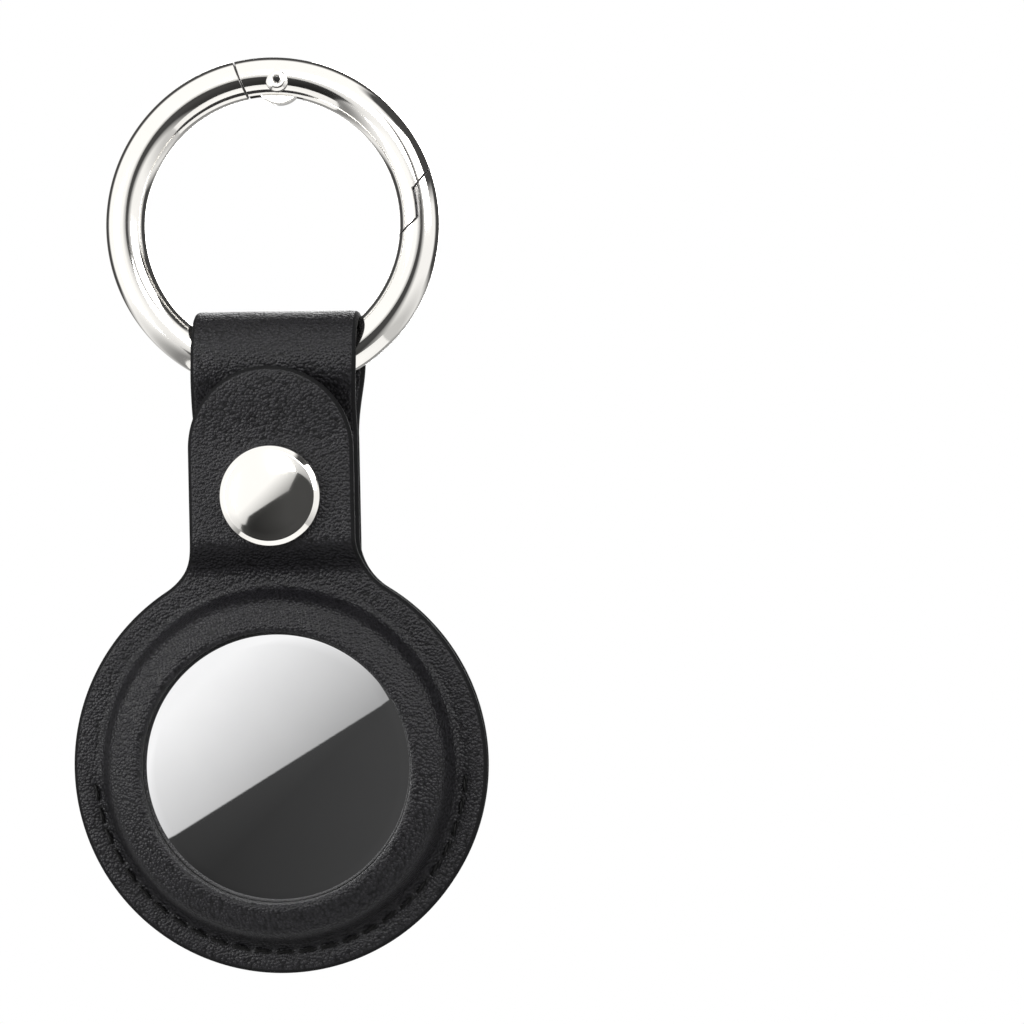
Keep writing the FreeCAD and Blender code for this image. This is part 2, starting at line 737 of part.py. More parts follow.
def pocket_seam():
    """Stitches round the lower half of the disc, through both panels and both linings."""
    radius = size("seam_radius")
    first, last = size("seam_start_angle"), size("seam_end_angle")
    count = round(math.radians(last - first) * radius / size("stitch_pitch"))
    holes = []
    for i in range(count + 1):
        x, z = polar(radius, first + (last - first) * i / count)
        holes.append(V(x, 0, disc_z + z))
    depth = size("lining") + leather
    return Part.makeCompound(
        [stitch(a, b, middle_y - depth, middle_y + depth) for a, b in zip(holes, holes[1:])]
    )


def strap_seam():
    """A straight row of stitches that closes the loop under the ring."""
    z = size("strap_seam_height")
    reach = strap_half - size("strap_seam_margin")
    count = round(2 * reach / size("stitch_pitch"))
    holes = [V(-reach + 2 * reach * i / count, 0, z) for i in range(count + 1)]
    return Part.makeCompound([stitch(a, b, strap_front, strap_back) for a, b in zip(holes, holes[1:])])


seam_thread = formed("seam_thread", pocket_seam())
strap_thread = formed("strap_thread", strap_seam())


# Snap fastener

CAP_EDGE = "cap_diameter / 2"
POST = "post_diameter / 2"


def cap_profile(post_length):
    """A domed cap with its post: depth 0 is where the cap seats on the leather."""
    return [
        ("0", f"-({post_length})"),
        (POST, f"-({post_length})"),
        (POST, "0"),
        (f"{CAP_EDGE} - cap_skirt", "0"),
        (CAP_EDGE, "cap_skirt"),
        (CAP_EDGE, "cap_height - cap_round", "cap_round"),
        (f"{CAP_EDGE} - cap_round", "cap_height"),
        ("0", "cap_height"),
    ]


rear_cap_profile = cap_profile("2 * leather + fold_gap + post_seat")
front_cap_profile = cap_profile("leather + socket_floor")
snap_rear_cap = turned("snap_rear_cap", rear_cap_profile, "strap_back")
snap_front_cap = turned("snap_front_cap", front_cap_profile, "tongue_outer", depth_sign=-1)
snap_stud = turned(
    "snap_stud",
    [
        (POST, "0"),
        ("stud_flange_radius", "0"),
        ("stud_flange_radius", "stud_flange"),
        ("stud_neck_radius", "stud_flange"),
        ("stud_neck_radius", "stud_flange + stud_neck_height"),
        ("stud_head_radius", "stud_flange + stud_neck_height + stud_head_taper"),
        ("stud_head_radius", "stud_height - stud_head_taper"),
        ("stud_head_radius - stud_head_taper", "stud_height"),
        ("0", "stud_height"),
        ("0", "post_seat"),
        (POST, "post_seat"),
    ],
    "strap_front",
    depth_sign=-1,
)
snap_socket = turned(
    "snap_socket",
    [
        (POST, "0"),
        ("socket_radius", "0"),
        ("socket_radius", "socket_height - socket_bevel"),
        ("socket_radius - socket_bevel", "socket_height"),
        ("socket_cavity_radius", "socket_height"),
        ("socket_cavity_radius", "socket_height - socket_lip"),
        ("socket_groove_radius", "socket_height - socket_lip"),
        ("socket_groove_radius", "socket_height - socket_lip - socket_groove_height"),
        ("socket_cavity_radius", "socket_height - socket_lip - socket_groove_height"),
        ("socket_cavity_radius", "socket_floor"),
        (POST, "socket_floor"),
    ],
    "tongue_inner",
)
snap_spring = doc.addObject("Part::Torus", "snap_spring")
bind(snap_spring, Radius1="ring_spring_radius", Radius2="ring_spring_wire / 2")
snap_spring.Placement.Rotation = FreeCAD.Rotation(X_AXIS, 90)
place(snap_spring, "tongue_inner + socket_height - socket_lip - socket_groove_height / 2")
for piece in (snap_rear_cap, snap_front_cap, snap_stud, snap_socket, snap_spring):
    bind(piece, Placement__Base__z="snap_height")


# Tracker tag

LEDGE_DEPTH = "-(cover_skirt_depth - seal_thickness)"
TRAY_HOLE = "tray_radius + tray_play"
BATTERY_BACK = "-battery_play"


def cap_round(radius, height):
    """The radius of a ball whose cap has this radius and height."""
    return f"(({radius}) ^ 2 + ({height}) ^ 2) / (2 * ({height}))"


DOME_ROUND = cap_round("tag_shoulder_radius", "tag_shoulder_drop")
FACE_ROUND = cap_round("cover_shoulder_radius", "cover_shoulder_drop")

tag_white_cover = turned(
    "tag_white_cover",
    [
        ("lip_radius", "-cover_edge_depth"),
        ("lip_radius + lip_width", "-cover_edge_depth", "tag_edge_round"),
        ("tag_radius", "-tag_edge_half_height"),
        ("tag_radius", "tag_edge_half_height", "tag_edge_round"),
        ("tag_shoulder_radius", "tag_shoulder_depth", DOME_ROUND),
        ("0", "back_depth"),
        ("0", "dome_inner"),
        ("dome_flat_radius", "dome_inner"),
        ("dome_inner_radius", "dome_inner - dome_inner_drop"),
        (TRAY_HOLE, "board_back"),
        (TRAY_HOLE, LEDGE_DEPTH),
        ("groove_radius", LEDGE_DEPTH),
        ("groove_radius", "-(cover_skirt_depth + bayonet_lug + bayonet_play)"),
        ("lip_radius", "-(cover_skirt_depth + bayonet_lug + bayonet_play)"),
    ],
    "middle_depth",
    "disc_height",
)
cover_cup = turned(
    "cover_cup",
    [
        ("0", "-front_depth", FACE_ROUND),
        ("cover_shoulder_radius", "-cover_shoulder_depth", "cover_edge_round"),
        ("cover_radius", "-cover_edge_depth"),
        ("cover_radius", "-cover_skirt_depth"),
        ("cover_radius - cover_wall", "-cover_skirt_depth"),
        ("cover_radius - cover_wall", "-cover_edge_depth"),
        ("cover_shoulder_radius - cover_wall / 2", "-(cover_shoulder_depth - cover_wall)"),
        ("battery_diameter / 2", "-(front_depth - cover_wall)"),
        ("0", "-(front_depth - cover_wall)"),
    ],
    "middle_depth",
    "disc_height",
)


def ring_sector(inner, outer, y_from, y_to, middle_degrees, spread_degrees):
    """A block bounded by two radii about the tag's axis."""
    start = math.radians(middle_degrees - spread_degrees / 2)
    stop = math.radians(middle_degrees + spread_degrees / 2)
    middle = (start + stop) / 2

    def at(radius, angle):
        return V(radius * math.cos(angle), y_from, disc_z + radius * math.sin(angle))

    edges = [
        Part.Arc(at(outer, start), at(outer, middle), at(outer, stop)).toShape(),
        Part.makeLine(at(outer, stop), at(inner, stop)),
        Part.Arc(at(inner, stop), at(inner, middle), at(inner, start)).toShape(),
        Part.makeLine(at(inner, start), at(outer, start)),
    ]
    return Part.Face(Part.Wire(edges)).extrude(V(0, y_to - y_from, 0))


def around(count, make):
    """Copies of a block, evenly spaced round the tag's axis."""
    return [make(90 + 360 * i / count) for i in range(count)]


def bayonet_lugs():
    skirt = middle_y - size("cover_skirt_depth")
    inner = size("cover_radius - cover_wall")
    outer = size("groove_radius - bayonet_play")
    front = skirt - size("bayonet_lug")
    spread = size("bayonet_lug_angle")

    def lug(angle):
        return ring_sector(inner, outer, front, skirt, angle, spread)

    return around(BAYONET_LUG_COUNT, lug)


def block_on_circle(length, width, y_from, y_to, radius, degrees):
    """A small block lying flat across a radius of the tag."""
    block = Part.makeBox(length, y_to - y_from, width, V(radius - length / 2, y_from, -width / 2))
    block.rotate(V(0, 0, 0), Y_AXIS, -degrees)
    block.translate(V(0, 0, disc_z))
    return block


lugs = formed("bayonet_lugs", Part.makeCompound(bayonet_lugs()))
tag_steel_cover = joined("Fuse", "tag_steel_cover", cover_cup, lugs)
tag_seal = turned(
    "tag_seal",
    [
        ("cover_radius - cover_wall", "-cover_skirt_depth"),
        ("cover_radius", "-cover_skirt_depth"),
        ("cover_radius", LEDGE_DEPTH),
        ("cover_radius - cover_wall", LEDGE_DEPTH),
    ],
    "middle_depth",
    "disc_height",
)
tag_battery = turned(
    "tag_battery",
    [
        ("0", f"{BATTERY_BACK} - battery_thickness"),
        ("battery_diameter / 2", f"{BATTERY_BACK} - battery_thickness"),
        ("battery_diameter / 2", f"{BATTERY_BACK} - battery_step"),
        ("battery_diameter / 2 - battery_step", f"{BATTERY_BACK} - battery_step"),
        ("battery_diameter / 2 - battery_step", BATTERY_BACK),
        ("0", BATTERY_BACK),
    ],
    "middle_depth",
    "disc_height",
)
tag_tray = turned(
    "tag_tray",
    [
        ("0", "floor_back - tray_floor"),
        ("battery_diameter / 2 + battery_play", "floor_back - tray_floor"),
        ("battery_diameter / 2 + battery_play", "-cover_skirt_depth"),
        ("tray_radius", "-cover_skirt_depth"),
        ("tray_radius", "floor_back"),
        ("0", "floor_back"),
    ],
    "middle_depth",
    "disc_height",
)
tag_circuit_board = turned(
    "tag_circuit_board",
    [
        ("board_inner_radius", "floor_back"),
        ("board_outer_radius", "floor_back"),
        ("board_outer_radius", "board_back"),
        ("board_inner_radius", "board_back"),
    ],
    "middle_depth",
    "disc_height",
)
tag_speaker_magnet = doc.addObject("Part::Cylinder", "tag_speaker_magnet")
bind(tag_speaker_magnet, Radius="magnet_diameter / 2", Height="magnet_height")
tag_speaker_magnet.Placement.Rotation = FreeCAD.Rotation(X_AXIS, -90)
place(tag_speaker_magnet, "middle_depth + floor_back", "disc_height")
tag_speaker_coil = turned(
    "tag_speaker_coil",
    [
        ("coil_inner_radius", "dome_inner - coil_height"),
        ("coil_inner_radius + coil_wall", "dome_inner - coil_height"),
        ("coil_inner_radius + coil_wall", "dome_inner"),
        ("coil_inner_radius", "dome_inner"),
    ],
    "middle_depth",
    "disc_height",
)


def battery_contacts():
    back = middle_y + size("floor_back") - size("tray_floor")
    front = back - size("contact_thickness")
    length, width = size("contact_length"), size("contact_width")
    radius = size("contact_circle_radius")

    def contact(angle):
        return block_on_circle(length, width, front, back, radius, angle)

    return around(CONTACT_COUNT, contact)


def board_chips():
    front = middle_y + size("board_back")
    back = front + size("chip_height")
    side = size("chip_size")
    radius = size("chip_circle_radius")

    def chip(angle):
        return block_on_circle(side, side, front, back, radius, angle)

    return around(CHIP_COUNT, chip)


tag_contacts = formed("tag_contacts", Part.makeCompound(battery_contacts()))
tag_chips = formed("tag_chips", Part.makeCompound(board_chips()))

PIECES = [
    ring_body,
    ring_gate,
    gate_pin,
    gate_spring,
    rear_panel,
    front_panel,
    front_tongue,
    rear_lining,
    front_lining,
    seam_thread,
    strap_thread,
    snap_front_cap,
    snap_socket,
    snap_spring,
    snap_stud,
    snap_rear_cap,
    tag_white_cover,
    tag_steel_cover,
    tag_seal,
    tag_battery,
    tag_tray,
    tag_contacts,
    tag_circuit_board,
    tag_chips,
    tag_speaker_magnet,
    tag_speaker_coil,
]

doc.recompute()
faults = [o.Label for o in doc.Objects if "Invalid" in o.State or "Error" in o.State]
for piece in PIECES:
    if piece.Shape.isNull() or not piece.Shape.isValid() or not piece.Shape.Solids:
        faults.append(piece.Label)
if faults:
    raise SystemExit(f"these objects failed: {faults}")

os.makedirs("parts", exist_ok=True)
for piece in PIECES:
    piece.Shape.exportStep(os.path.join("parts", piece.Label + ".step"))
    print(piece.Label, len(piece.Shape.Solids), "solid(s),", round(piece.Shape.Volume, 2), "mm3")
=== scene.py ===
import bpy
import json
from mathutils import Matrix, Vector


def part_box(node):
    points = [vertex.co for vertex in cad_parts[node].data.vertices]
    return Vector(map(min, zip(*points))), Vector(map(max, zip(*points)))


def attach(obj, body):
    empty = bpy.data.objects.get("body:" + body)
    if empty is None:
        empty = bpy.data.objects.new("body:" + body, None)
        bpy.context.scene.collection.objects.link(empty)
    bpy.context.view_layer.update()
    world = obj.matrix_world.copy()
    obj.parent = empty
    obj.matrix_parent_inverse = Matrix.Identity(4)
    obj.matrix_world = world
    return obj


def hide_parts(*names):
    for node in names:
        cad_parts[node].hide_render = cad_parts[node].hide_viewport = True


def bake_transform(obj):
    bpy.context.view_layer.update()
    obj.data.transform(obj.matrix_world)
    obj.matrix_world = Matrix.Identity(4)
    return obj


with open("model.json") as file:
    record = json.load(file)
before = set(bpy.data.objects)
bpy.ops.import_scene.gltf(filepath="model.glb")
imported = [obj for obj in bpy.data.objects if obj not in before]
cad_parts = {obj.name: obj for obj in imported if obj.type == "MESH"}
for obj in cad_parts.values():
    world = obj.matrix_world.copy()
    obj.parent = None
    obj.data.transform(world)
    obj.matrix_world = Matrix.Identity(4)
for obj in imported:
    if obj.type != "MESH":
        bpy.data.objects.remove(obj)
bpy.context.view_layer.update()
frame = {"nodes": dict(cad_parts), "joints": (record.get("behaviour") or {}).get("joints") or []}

import json
import math

import bmesh
import bpy
from mathutils import Matrix, Vector
from mathutils.geometry import delaunay_2d_cdt
from mathutils.kdtree import KDTree

# The object's sizes are in millimetres, and MM turns them into metres where a mesh is made
MM = 0.001

joints = {j["name"]: j for j in frame["joints"]}


def joint_place(name):
    return Vector(joints[name]["pos_m"]) / MM


TUNNEL_Z = joint_place("ring_swing").z
HINGE_Z = joint_place("flap_hinge").z
PIVOT = joint_place("gate_hinge")
TAG = joint_place("tag_spin")
DISC_Z = TAG.z
SNAP_Z = (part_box("snap_front_cap")[0].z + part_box("snap_front_cap")[1].z) / 2 / MM

RING_R = 14.65
WIRE_R = 2.0
LEATHER = 1.2
LINING = 0.25
STRAP_HALF = 8.1
DISC_R = 20.4
APERTURE_R = 13.2
RIDGE_FOOT_R = 18.6
SEAM_R = 18.3
SEAM_FROM = -176.0
SEAM_TO = -3.0
NECK_FILLET = 6.0
TUNNEL_R = 3.742
SEAM_Z = -20.7
FLAP_END_Z = -35.2
FLAP_CORNER = 1.6
TONGUE_TOP_Z = TUNNEL_Z - 0.75
STRAP_FACE = 1.25
TONGUE_SNAP_Y = -4.05
TONGUE_TOP_Y = -5.1
SHARP_DEGREES = 40


# Materials


def new_material(name, color, roughness, metallic=0.0):
    material = bpy.data.materials.new(name)
    material.use_nodes = True
    shader = material.node_tree.nodes["Principled BSDF"]
    shader.inputs["Base Color"].default_value = (*color, 1)
    shader.inputs["Roughness"].default_value = roughness
    shader.inputs["Metallic"].default_value = metallic
    return material, material.node_tree, shader


def add_node(tree, kind, **values):
    node = tree.nodes.new(kind)
    for name, value in values.items():
        if name in node.inputs:
            node.inputs[name].default_value = value
        else:
            setattr(node, name, value)
    return node


def feed(tree, value, socket):
    """Set a socket to a number, or link it."""
    if isinstance(value, (int, float)):
        socket.default_value = value
    else:
        tree.links.new(value, socket)


def place_node(tree):
    """Where a point of the surface was at rest, in metres, so that a pattern stays on a bent piece."""
    return add_node(tree, "ShaderNodeAttribute", attribute_name="rest_place").outputs["Vector"]


def noise(tree, place, scale, detail=4.0):
    node = add_node(tree, "ShaderNodeTexNoise", Scale=scale, Detail=detail)
    tree.links.new(place, node.inputs["Vector"])
    return node.outputs["Fac"]


def cells(tree, place, scale, feature="SMOOTH_F1"):
    node = add_node(tree, "ShaderNodeTexVoronoi", feature=feature, Scale=scale)
    tree.links.new(place, node.inputs["Vector"])
    return node.outputs["Distance"]


def ramp(tree, source, low, high, to_low, to_high):
    node = add_node(tree, "ShaderNodeMapRange")
    for name, value in zip(("From Min", "From Max", "To Min", "To Max"), (low, high, to_low, to_high)):
        node.inputs[name].default_value = value
    tree.links.new(source, node.inputs["Value"])
    return node.outputs["Result"]


def tint(tree, source, shader, dark, light):
    node = add_node(tree, "ShaderNodeMix", data_type="RGBA")
    tree.links.new(source, node.inputs["Factor"])
    colors = [s for s in node.inputs if s.type == "RGBA"]
    colors[0].default_value = (*dark, 1)
    colors[1].default_value = (*light, 1)
    result = [s for s in node.outputs if s.type == "RGBA"][0]
    tree.links.new(result, shader.inputs["Base Color"])


def bump(tree, height, shader, distance, strength=1.0, before=None):
    node = add_node(tree, "ShaderNodeBump", Strength=strength, Distance=distance)
    tree.links.new(height, node.inputs["Height"])
    if before is not None:
        tree.links.new(before, node.inputs["Normal"])
    tree.links.new(node.outputs["Normal"], shader.inputs["Normal"])
    return node.outputs["Normal"]


# The leather's two colours: the dark one is painted shade in the creases between grains, the light one
# painted highlight on the grain tops
LEATHER_SHADED = (0.0022, 0.0021, 0.0025)
LEATHER_LIT = (0.0112, 0.0107, 0.0128)


def leather_material():
    """Black pebbled leather: small rounded grains, lighter on their tops as painted highlight and darker in
    the creases between them as painted shade, finer pores, slow waves, and a low sheen.
    """
    material, tree, shader = new_material("leather_black", (0.012, 0.012, 0.013), 0.5)
    place = place_node(tree)
    warp = add_node(tree, "ShaderNodeTexNoise", Scale=1700.0, Detail=2.0)
    tree.links.new(place, warp.inputs["Vector"])
    shift = add_node(tree, "ShaderNodeVectorMath", operation="SCALE", Scale=0.0002)
    tree.links.new(warp.outputs["Color"], shift.inputs[0])
    moved = add_node(tree, "ShaderNodeVectorMath", operation="ADD")
    tree.links.new(place, moved.inputs[0])
    tree.links.new(shift.outputs["Vector"], moved.inputs[1])
    grain = cells(tree, moved.outputs["Vector"], 3600.0, "F1")
    pores = noise(tree, place, 7000.0, 3.0)
    cloud = noise(tree, place, 190.0, 4.0)
    # The colour follows the grains' height: painted highlight on the grain tops, painted shade in the
    # creases between them
    tint(tree, ramp(tree, grain, 0.1, 0.75, 1.0, 0.0), shader, LEATHER_SHADED, LEATHER_LIT)
    tree.links.new(ramp(tree, cloud, 0.3, 0.7, 0.36, 0.48), shader.inputs["Roughness"])
    shader.inputs["Specular IOR Level"].default_value = 0.2
    wave = bump(tree, cloud, shader, 0.00015, 0.25)
    pebble = bump(tree, ramp(tree, grain, 0.05, 0.8, 1.0, 0.0), shader, 0.00008, 1.0, wave)
    bump(tree, pores, shader, 0.00002, 0.4, pebble)
    return material


def edge_paint_material():
    """The matte paint on the leather's cut edges."""
    material, tree, shader = new_material("edge_paint_black", (0.006, 0.006, 0.006), 0.8)
    speck = noise(tree, place_node(tree), 4000.0, 3.0)
    tint(tree, speck, shader, (0.004, 0.004, 0.0042), (0.009, 0.009, 0.0095))
    shader.inputs["Specular IOR Level"].default_value = 0.08
    bump(tree, speck, shader, 0.00003, 0.5)
    return material


def fabric_material(name, color, scale):
    """Dull cloth with a short nap."""
    material, tree, shader = new_material(name, color, 0.85)
    place = place_node(tree)
    fuzz = noise(tree, place, scale, 5.0)
    tint(tree, fuzz, shader, [c * 0.5 for c in color], [c * 1.5 for c in color])
    shader.inputs["Sheen Weight"].default_value = 0.15
    bump(tree, fuzz, shader, 0.00005, 0.6)
    return material


def thread_material():
    """Waxed black thread."""
    material, tree, shader = new_material("thread_black", (0.004, 0.004, 0.004), 0.6)
    place = place_node(tree)
    fibre = noise(tree, place, 9000.0, 2.0)
    tint(tree, fibre, shader, (0.002, 0.002, 0.002), (0.006, 0.006, 0.006))
    shader.inputs["Specular IOR Level"].default_value = 0.12
    tree.links.new(ramp(tree, fibre, 0.3, 0.7, 0.4, 0.65), shader.inputs["Roughness"])
    bump(tree, fibre, shader, 0.00003, 0.5)
    return material


def metal_material(name, color, low, high, scratch=0.06):
    """Polished plate with faint clouding and hair scratches."""
    material, tree, shader = new_material(name, color, low, 1.0)
    place = place_node(tree)
    cloud = noise(tree, place, 210.0, 5.0)
    tree.links.new(ramp(tree, cloud, 0.3, 0.75, low, high), shader.inputs["Roughness"])
    tint(tree, cloud, shader, [c * 0.96 for c in color], [min(c * 1.03, 1) for c in color])
    stretch = add_node(tree, "ShaderNodeMapping")
    stretch.inputs["Scale"].default_value = (300.0, 300.0, 4000.0)
    stretch.inputs["Rotation"].default_value = (0.4, 0.9, 0.3)
    tree.links.new(place, stretch.inputs["Vector"])
    hair = noise(tree, stretch.outputs["Vector"], 1.0, 3.0)
    bump(tree, hair, shader, 0.000004, scratch)
    return material


def plastic_material(name, color, roughness):
    """Moulded plastic or rubber with faint clouding and a fine texture."""
    material, tree, shader = new_material(name, color, roughness)
    place = place_node(tree)
    cloud = noise(tree, place, 130.0, 3.0)
    tint(tree, cloud, shader, [c * 0.97 for c in color], [min(c * 1.02, 1) for c in color])
    gloss = ramp(tree, cloud, 0.3, 0.7, roughness * 0.88, roughness * 1.1)
    tree.links.new(gloss, shader.inputs["Roughness"])
    bump(tree, noise(tree, place, 4200.0, 2.0), shader, 0.00001, 0.15)
    return material


NICKEL = metal_material("nickel_plate", (0.93, 0.91, 0.87), 0.05, 0.1, 0.025)
# A dark nickel that is painted shade: it goes on the joints at the wire's cuts and round the rivet's head
SHADE_NICKEL = metal_material("nickel_painted_shade", (0.16, 0.155, 0.15), 0.35, 0.5)
STEEL = metal_material("mirror_steel", (0.84, 0.84, 0.845), 0.008, 0.016, 0.012)
SPRING = metal_material("spring_steel", (0.55, 0.55, 0.55), 0.25, 0.4)
WHITE = plastic_material("white_shell", (0.8, 0.8, 0.8), 0.4)
BLACK_LEATHER = leather_material()
EDGE_PAINT = edge_paint_material()
BLACK_FABRIC = fabric_material("lining_black", (0.014, 0.014, 0.014), 3000.0)
BLACK_THREAD = thread_material()
PLAIN = {
    "tag_seal": plastic_material("seal_rubber", (0.05, 0.05, 0.05), 0.7),
    "tag_battery": metal_material("battery_can", (0.62, 0.62, 0.6), 0.25, 0.35),
    "tag_tray": plastic_material("tray_plastic", (0.7, 0.7, 0.69), 0.5),
    "tag_contacts": metal_material("contact_gold", (0.8, 0.62, 0.25), 0.2, 0.3),
    "tag_circuit_board": plastic_material("board_mask", (0.03, 0.16, 0.07), 0.35),
    "tag_chips": plastic_material("chip_package", (0.03, 0.03, 0.03), 0.55),
    "tag_speaker_magnet": metal_material("magnet_plate", (0.5, 0.5, 0.5), 0.3, 0.4),
    "tag_speaker_coil": metal_material("coil_wire", (0.72, 0.36, 0.2), 0.3, 0.4),
    "gate_spring": SPRING,
    "snap_spring": SPRING,
    "snap_stud": NICKEL,
    "snap_socket": NICKEL,
}


def keep_rest_place(mesh):
    """Store where each point is at rest, which the materials read."""
    attribute = mesh.attributes.new("rest_place", "FLOAT_VECTOR", "POINT")
    places = [c for vertex in mesh.vertices for c in vertex.co]
    attribute.data.foreach_set("vector", places)


for node, finish in PLAIN.items():
    inner = frame["nodes"][node]
    inner.data.materials.clear()
    inner.data.materials.append(finish)
    keep_rest_place(inner.data)


# Mesh helpers


def make_piece(name, points, faces, material, slot):
    """A mesh object from points in millimetres."""
    mesh = bpy.data.meshes.new(name)
    mesh.from_pydata([Vector(p) * MM for p in points], [], faces)
    mesh.validate()
    mesh.shade_smooth()
    mesh.set_sharp_from_angle(angle=math.radians(SHARP_DEGREES))
    mesh.materials.append(material)
    keep_rest_place(mesh)
    piece = bpy.data.objects.new(name, mesh)
    bpy.context.scene.collection.objects.link(piece)
    return piece


def soften_edges(piece, width):
    bevel = piece.modifiers.new("edge_round", "BEVEL")
    bevel.width = width * MM
    bevel.segments = 3
    bevel.limit_method = "ANGLE"
    bevel.angle_limit = math.radians(SHARP_DEGREES)


def polar(radius, degrees):
    return radius * math.cos(math.radians(degrees)), radius * math.sin(math.radians(degrees))


def unit(angle):
    return Vector((math.cos(angle), math.sin(angle)))


def smooth_share(share):
    """A share from 0 to 1 that starts and ends gently."""
    share = min(max(share, 0.0), 1.0)
    return share * share * (3 - 2 * share)


def filleted(corners, steps=6):
    """A line through (a, b, radius) corners, with each corner rounded to its radius."""
    line = []
    for i, (a, b, radius) in enumerate(corners):
        here = Vector((a, b))
        if radius == 0 or i in (0, len(corners) - 1):
            line.append(here)
            continue
        before = Vector(corners[i - 1][:2]) - here
        after = Vector(corners[i + 1][:2]) - here
        turn = before.angle(after)
        reach = radius / math.tan(turn / 2)
        start = here + before.normalized() * reach
        end = here + after.normalized() * reach
        centre = here + (before.normalized() + after.normalized()).normalized() * radius / math.sin(turn / 2)
        first, last = start - centre, end - centre
        sweep = first.angle_signed(last)
        for k in range(steps + 1):
            angle = sweep * k / steps
            c, s = math.cos(-angle), math.sin(-angle)
            line.append(centre + Vector((first.x * c - first.y * s, first.x * s + first.y * c)))
    return line


def lathe(profile, centre, front, segments):
    """A closed form turned about the Y axis from (radius, height) points, the height out of the leather."""
    sign = -1 if front else 1
    points, faces, rows = [], [], []
    for radius, height in profile:
        if radius < 1e-6:
            rows.append([len(points)] * segments)
            points.append((centre[0], centre[1] + sign * height, centre[2]))
            continue
        rows.append(list(range(len(points), len(points) + segments)))
        for k in range(segments):
            x, z = polar(radius, 360 * k / segments)
            points.append((centre[0] + x, centre[1] + sign * height, centre[2] + z))
    closed = profile[0][0] > 1e-6
    pairs = list(zip(rows, rows[1:]))
    if closed:
        pairs.append((rows[-1], rows[0]))
    for low, high in pairs:
        for k in range(segments):
            n = (k + 1) % segments
            quad = list(dict.fromkeys([low[k], low[n], high[n], high[k]]))
            if len(quad) > 2:
                faces.append(quad if front else quad[::-1])
    return points, faces


# Spring-gate ring

JOINT_ANGLE = 100.9
JOINT_SLANT = 10.3
LATCH_OUT = (18.0, 12.4)
LATCH_IN = (1.0, -6.6)
JOINT_GAP = 0.06
SLOT_HALF = 0.73
SLOT_LENGTH = 2.75
PIVOT_ANGLE = math.degrees(math.atan2(PIVOT.z, PIVOT.x))
SLOT_END_ANGLE = PIVOT_ANGLE - math.degrees(math.atan(SLOT_LENGTH / PIVOT.length))
SLOT_EDGE = math.degrees(math.asin(SLOT_HALF / WIRE_R))
FORK_ROWS = 19
TAB_HALF = 0.65
TAB_R = 2.25


def line_angle(radius, start, end, guess):
    """The angle at which the line from start to end lies at a radius from the ring's centre."""
    along = end - start
    a = along.dot(along)
    b = 2 * start.dot(along)
    c = start.dot(start) - radius * radius
    root = math.sqrt(max(b * b - 4 * a * c, 0))
    angles = []
    for t in ((-b + root) / (2 * a), (-b - root) / (2 * a)):
        point = start + along * t
        angles.append(math.degrees(math.atan2(point.y, point.x)))
    return min(angles, key=lambda angle: abs(angle - guess))


def shifted_line(start, end, shift):
    """The same line, moved to its left."""
    side = Vector((-(end - start).y, (end - start).x)).normalized() * shift
    return start + side, end + side


def joint_end(radius, shift):
    """The angle of the slanted hinge joint at a radius."""
    start = Vector(polar(RING_R, JOINT_ANGLE))
    end = start + Vector(polar(1, JOINT_ANGLE + JOINT_SLANT))
    return line_angle(radius, *shifted_line(start, end, shift), JOINT_ANGLE)


def latch_end(radius, outer, shift):
    """The angle of the stepped latch at a radius, on the outer or inner half of the wire."""
    if outer:
        start, end = Vector(polar(RING_R, LATCH_OUT[1])), Vector(polar(RING_R + WIRE_R, LATCH_OUT[0]))
        return line_angle(radius, *shifted_line(start, end, shift), sum(LATCH_OUT) / 2)
    start, end = Vector(polar(RING_R - WIRE_R, LATCH_IN[1])), Vector(polar(RING_R, LATCH_IN[0]))
    return line_angle(radius, *shifted_line(start, end, shift), sum(LATCH_IN) / 2)


def wire_angles():
    """Angles round the wire: 0 is outside the ring, 90 the back. The slot's edges are among them."""
    stops = [-90, -SLOT_EDGE, SLOT_EDGE, 90, 180 - SLOT_EDGE, 180 + SLOT_EDGE, 270]
    angles = []
    for low, high in zip(stops, stops[1:]):
        count = max(4, round((high - low) / 5))
        angles += [low + (high - low) * k / count for k in range(count)]
    return angles


def span(low, high, count):
    """Even steps from low, without high itself."""
    return [low + (high - low) * k / count for k in range(count)]


def wire_lines(ends):
    """Points along each line of the wire, from the angle along the ring that ends() lists for it."""
    points, lines = [], []
    for around in wire_angles():
        radius = RING_R + WIRE_R * math.cos(math.radians(around))
        depth = WIRE_R * math.sin(math.radians(around))
        line = []
        for angle in ends(around, radius):
            x, z = polar(radius, angle)
            line.append(len(points))
            points.append((x, depth, z))
        lines.append((around, line))
    return points, lines


def is_outer(around):
    return -90 <= around <= 90


def halves(lines):
    outer = [line for around, line in lines if is_outer(around)]
    inner = [line for around, line in lines if not is_outer(around)]
    return outer, inner


